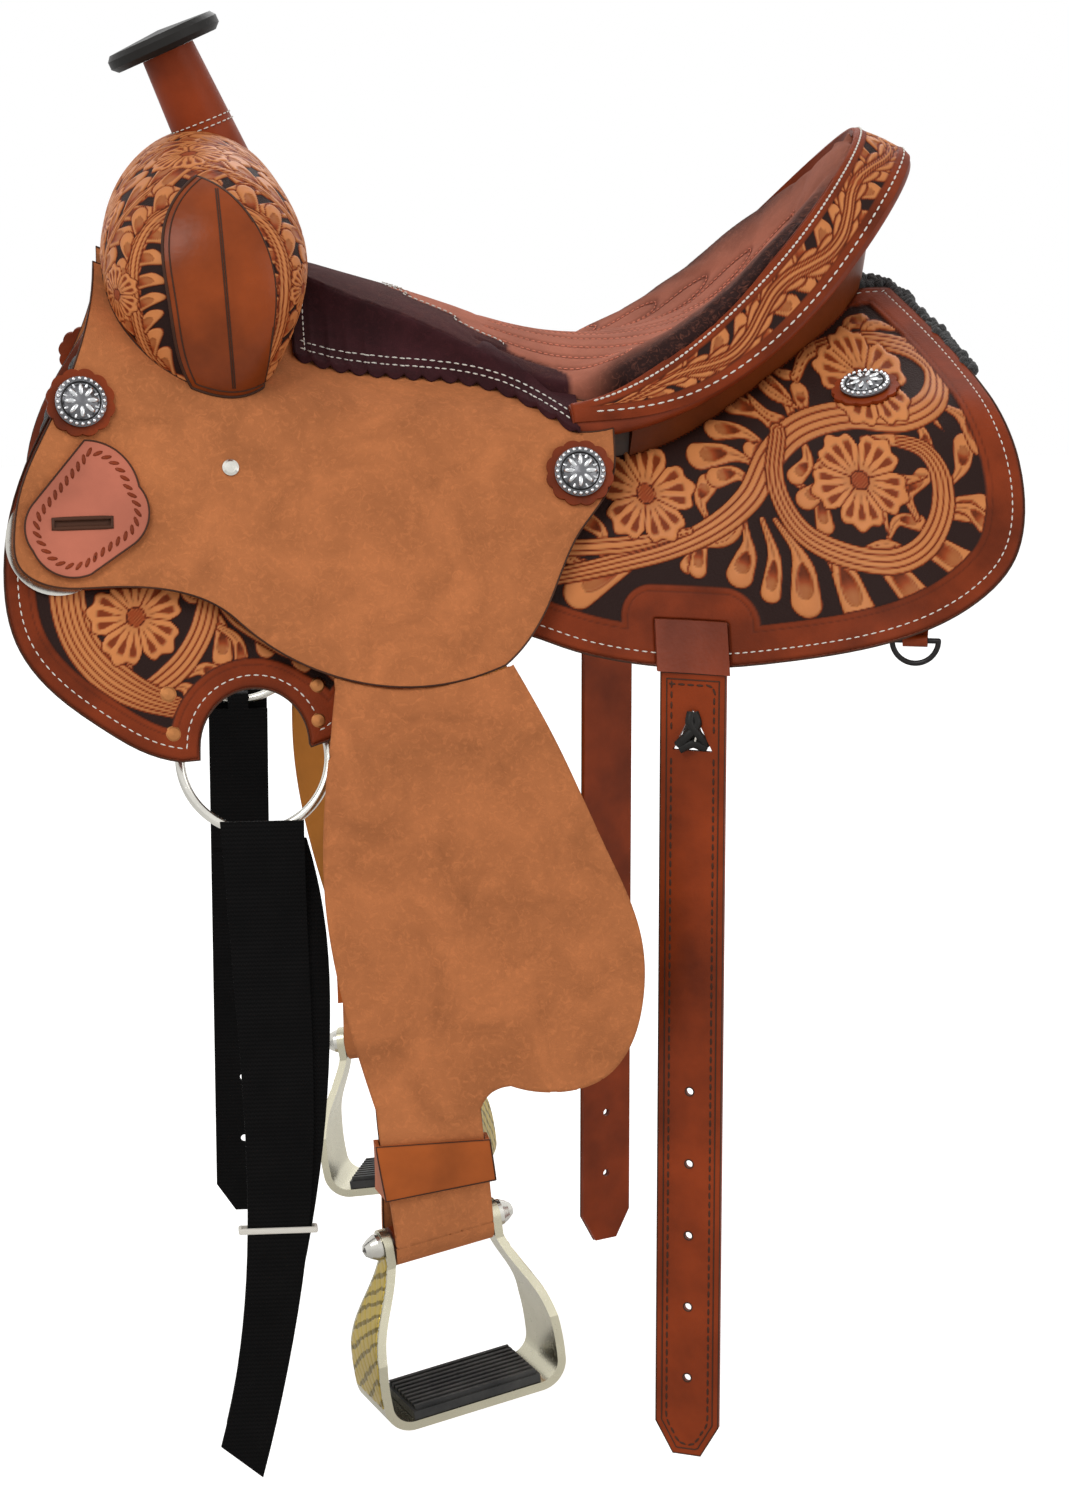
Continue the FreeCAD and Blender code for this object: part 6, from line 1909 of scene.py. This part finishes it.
class SADDLE_OT_fenders(bpy.types.Operator):
    """Makes each fender one roughout panel"""
    bl_idname = "saddle.fenders"
    bl_label = "Fenders"

    def execute(self, context):
        for side, way in SIDES.items():
            panel = remeshed(f"fender_panel_{side}", [f"fender_top_{side}", f"fender_{side}"],
                             voxel=fine(0.0020))
            relaxed(panel, rounds=1)
            hinge = next(joint for joint in frame["joints"] if joint["name"] == f"fender_lift_{side}")
            x, y, z = hinge["pos_m"]
            drawn_back(panel, f"fender_top_{side}", f"fender_{side}", crisp=0.0013,
                       skip=lambda place: abs(place.z - z) < 0.003)
            dressed(panel, "Roughout", "Golden Leather")
            panel.data.polygons.foreach_set("material_index", [int(face.normal.y * way < -0.3)
                                                               for face in panel.data.polygons])
            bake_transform(panel)
            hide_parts(f"fender_top_{side}", f"fender_{side}")
        return {"FINISHED"}


BRASS_RISE, BRASS_WIDTH, BRASS_CELL = (-0.066, 0.034), (-0.030, 0.030), 0.0012


class SADDLE_OT_stirrups(bpy.types.Operator):
    """Lays engraved brass on the outside of the stirrups' arms"""
    bl_idname = "saddle.stirrups"
    bl_label = "Stirrup brass"

    def execute(self, context):
        for side in SIDES:
            node = f"stirrup_{side}"
            corners = np.array([vertex.co for vertex in NODES[node].data.vertices])
            middle = Vector(corners.mean(0))
            across = Vector(np.linalg.svd(corners - corners.mean(0), full_matrices=False)[2][0])
            across = Vector((across.x, across.y, 0)).normalized()
            if across.x < 0:
                across = -across
            deep = across.cross(ABOVE)
            face = OuterFace(node, outward=lambda place: (
                across * (place - middle).dot(across) + ABOVE * (place.z - middle.z)).normalized())
            vertices, faces = [], []
            for way in (1, -1):
                sheet = laid_sheet(
                    np.arange(*BRASS_RISE, BRASS_CELL), np.arange(*BRASS_WIDTH, BRASS_CELL),
                    lambda u, v: (middle + across * way * 0.15 + deep * v + ABOVE * u, across * -way),
                    face, self.relief, margin=0.0022)
                faces += [[len(vertices) + index for index in shape] for shape in sheet[1]]
                vertices += sheet[0]
            piece(f"stirrup_brass_{side}", vertices, faces, "Engraved Brass", node)
        return {"FINISHED"}

    @staticmethod
    def relief(u, v, edge):
        """Slanting feathered cuts between plain edges."""
        slant = np.abs(np.mod((u + v * 1.1) / 0.0115, 1.0) - 0.5) * 2
        cut = smoothstep((0.30 - slant) / 0.25) * smoothstep((edge - 1.5) / 1.0)
        return 0.55 - 0.42 * cut, 1 - cut, cut * 0


PILE_DEPTH, CURL_DEPTH, TUFT_PITCH = 0.0016, 0.0030, 0.0032
TUFT_SEED = 4


class SADDLE_OT_fleece(bpy.types.Operator):
    """Turns the lining of the skirts into a deep curled pile"""
    bl_idname = "saddle.fleece"
    bl_label = "Fleece"

    def execute(self, context):
        pile = remeshed("fleece_pile_left", ["fleece_left"], voxel=fine(0.0042))
        relaxed(pile, rounds=1)
        points, up = coordinates(pile), normals(pile)
        roof = tree_of("skirt_left")
        lift = np.zeros(len(points))
        for number, point in enumerate(points):
            place = Vector(point)
            curl = noise.noise(place * 95) * 0.6 + noise.noise(place * 210 + Vector((7, 3, 5))) * 0.5
            under = roof.find_nearest(place)[3]
            room = min(1.0, max(0.0, (under - 0.0012) / 0.004))
            lift[number] = (PILE_DEPTH + CURL_DEPTH * curl) * room
        reshape(pile, points + up * lift[:, None])
        dressed(pile, "Fleece")
        smoothed(pile)
        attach(pile, "saddle")
        twin = mirror_piece(pile, "fleece_pile_right", "saddle")
        for made, lining in ((pile, "fleece_left"), (twin, "fleece_right")):
            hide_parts(lining)
        rim = OuterFace("skirt_left").rims[0]
        marks = []
        noise.seed_set(TUFT_SEED)
        for place in spaced(rim, TUFT_PITCH):
            if place.x > 0.14 and place.z > 0.035:
                for step in range(2):
                    shift = noise.noise_vector(place * 300 + Vector((step * 7.0, 0, 0)))
                    marks.append((place + Vector((0, 0.008 + 0.004 * step, 0.001)) + shift * 0.0035,
                                  (Vector((0.1, 0, 1)) + shift).normalized(), shift.normalized(),
                                  0.8 + 0.5 * abs(shift.x)))
        tuft = turned_shape("tuft", [(0.0012, -0.004), (0.0042, -0.002), (0.0048, 0.001),
                                     (0.0030, 0.004), (0.0008, 0.0055)], 9)
        set_out("fleece_edge", both_marks(marks), tuft, "Fleece", "saddle")
        return {"FINISHED"}


WHITE = (1, 1, 1, 1)


def aimed(holder, target):
    """Turns a camera or a lamp towards a place."""
    look = Vector(target) - holder.location
    holder.rotation_euler = look.to_track_quat("-Z", "Y").to_euler()


class SADDLE_OT_stage(bpy.types.Operator):
    """Sets the camera, the pale floor and the soft lamps"""
    bl_idname = "saddle.stage"
    bl_label = "Stage"

    def execute(self, context):
        scene, stage = context.scene, context.scene.saddle_stage
        scene.view_settings.view_transform = "Standard"
        camera = linked("camera", bpy.data.cameras.new("camera"))
        camera.location = (-0.272, -2.586, 0.26)
        aimed(camera, (0, 0, -0.245))
        camera.data.sensor_width, camera.data.lens = 36, 88
        scene.camera = camera
        scene.world = world = bpy.data.worlds.new("studio")
        world.use_nodes = True
        tree = world.node_tree
        tree.nodes.clear()
        seen = add(tree, "ShaderNodeLightPath").outputs
        plain = maths(tree, "MAXIMUM", seen["Is Camera Ray"],
                      maths(tree, "MAXIMUM", seen["Is Glossy Ray"], seen["Is Transmission Ray"]))
        light = add(tree, "ShaderNodeBackground", {"Color": WHITE, "Strength": stage.sky}).outputs[0]
        white = add(tree, "ShaderNodeBackground", {"Color": WHITE, "Strength": 1.0}).outputs[0]
        both = add(tree, "ShaderNodeMixShader", {0: plain, 1: light, 2: white})
        tree.links.new(both.outputs[0], add(tree, "ShaderNodeOutputWorld").inputs[0])
        for name, place, size, share in (
                ("key", (-1.6, -2.2, 2.4), 1.6, 1.0), ("fill", (2.2, -1.6, 0.8), 2.0, 0.3),
                ("back", (0.4, 2.2, 1.8), 1.8, 0.5)):
            lamp = bpy.data.lights.new(name, "AREA")
            lamp.energy, lamp.size = stage.key * share * 3.0, size
            holder = linked(name, lamp)
            holder.location = place
            aimed(holder, (0, 0, -0.1))
        mesh = bpy.data.meshes.new("floor")
        low, reach = CAD_BOX[0].z - 0.03, 6.0
        mesh.from_pydata([(x * reach, y * reach, low) for x, y in ((-1, -1), (1, -1), (1, 1), (-1, 1))],
                         [], [(0, 1, 2, 3)])
        floor = linked("floor", mesh)
        tree, shader, place = finish("Studio Floor")
        speckle = clouds(tree, place, 3.0, 3.0)
        connect(tree, shader.inputs, {
            "Base Color": mix(tree, speckle, rgba(stage.floor, 0.99), rgba(stage.floor, 1.01)),
            "Roughness": 0.9})
        seen = add(tree, "ShaderNodeLightPath").outputs["Is Camera Ray"]
        lift = add(tree, "ShaderNodeEmission", {"Color": WHITE, "Strength": times(tree, seen, 0.60)})
        both = add(tree, "ShaderNodeAddShader", {0: shader.outputs[0], 1: lift.outputs[0]})
        tree.links.new(both.outputs[0], tree.nodes["Material Output"].inputs["Surface"])
        mesh.materials.append(FINISHES["Studio Floor"])
        return {"FINISHED"}


class SADDLE_OT_finishes(bpy.types.Operator):
    """Gives every solid piece its leather, cloth, wood or metal"""
    bl_idname = "saddle.finishes"
    bl_label = "Finishes"

    def execute(self, context):
        make_finishes(context.scene.saddle_colours)
        wears = {node: name for name, nodes in WEARS.items() for node in nodes}
        for node, solid in NODES.items():
            dressed(solid, wears[node.removesuffix("_left").removesuffix("_right")])
        return {"FINISHED"}


OPERATORS = [SADDLE_OT_stage, SADDLE_OT_finishes, SADDLE_OT_skirts, SADDLE_OT_swell,
             SADDLE_OT_cantle, SADDLE_OT_seat, SADDLE_OT_side_panels, SADDLE_OT_edges,
             SADDLE_OT_conchos, SADDLE_OT_fenders, SADDLE_OT_stirrups, SADDLE_OT_fleece]


class SADDLE_PT_panel(bpy.types.Panel):
    """Lists the saddle's pieces in the order they are made"""
    bl_idname = "SADDLE_PT_panel"
    bl_label = "Western Saddle"
    bl_space_type = "VIEW_3D"
    bl_region_type = "UI"
    bl_category = "Saddle"

    def draw(self, context):
        for step in OPERATORS:
            self.layout.operator(step.bl_idname)


GROUPS = {"saddle_colours": SaddleColours, "saddle_stitching": SaddleStitching,
          "saddle_carving": SaddleCarving, "saddle_stage": SaddleStage}


def register():
    for kind in (*GROUPS.values(), *OPERATORS, SADDLE_PT_panel):
        bpy.utils.register_class(kind)
    for name, kind in GROUPS.items():
        setattr(bpy.types.Scene, name, bpy.props.PointerProperty(type=kind))


def unregister():
    for name in GROUPS:
        delattr(bpy.types.Scene, name)
    for kind in reversed((*GROUPS.values(), *OPERATORS, SADDLE_PT_panel)):
        bpy.utils.unregister_class(kind)


def main():
    """Makes the saddle by its operators, in order."""
    register()
    for step in OPERATORS:
        family, name = step.bl_idname.split(".")
        getattr(getattr(bpy.ops, family), name)()


if __name__ == "__main__":
    main()
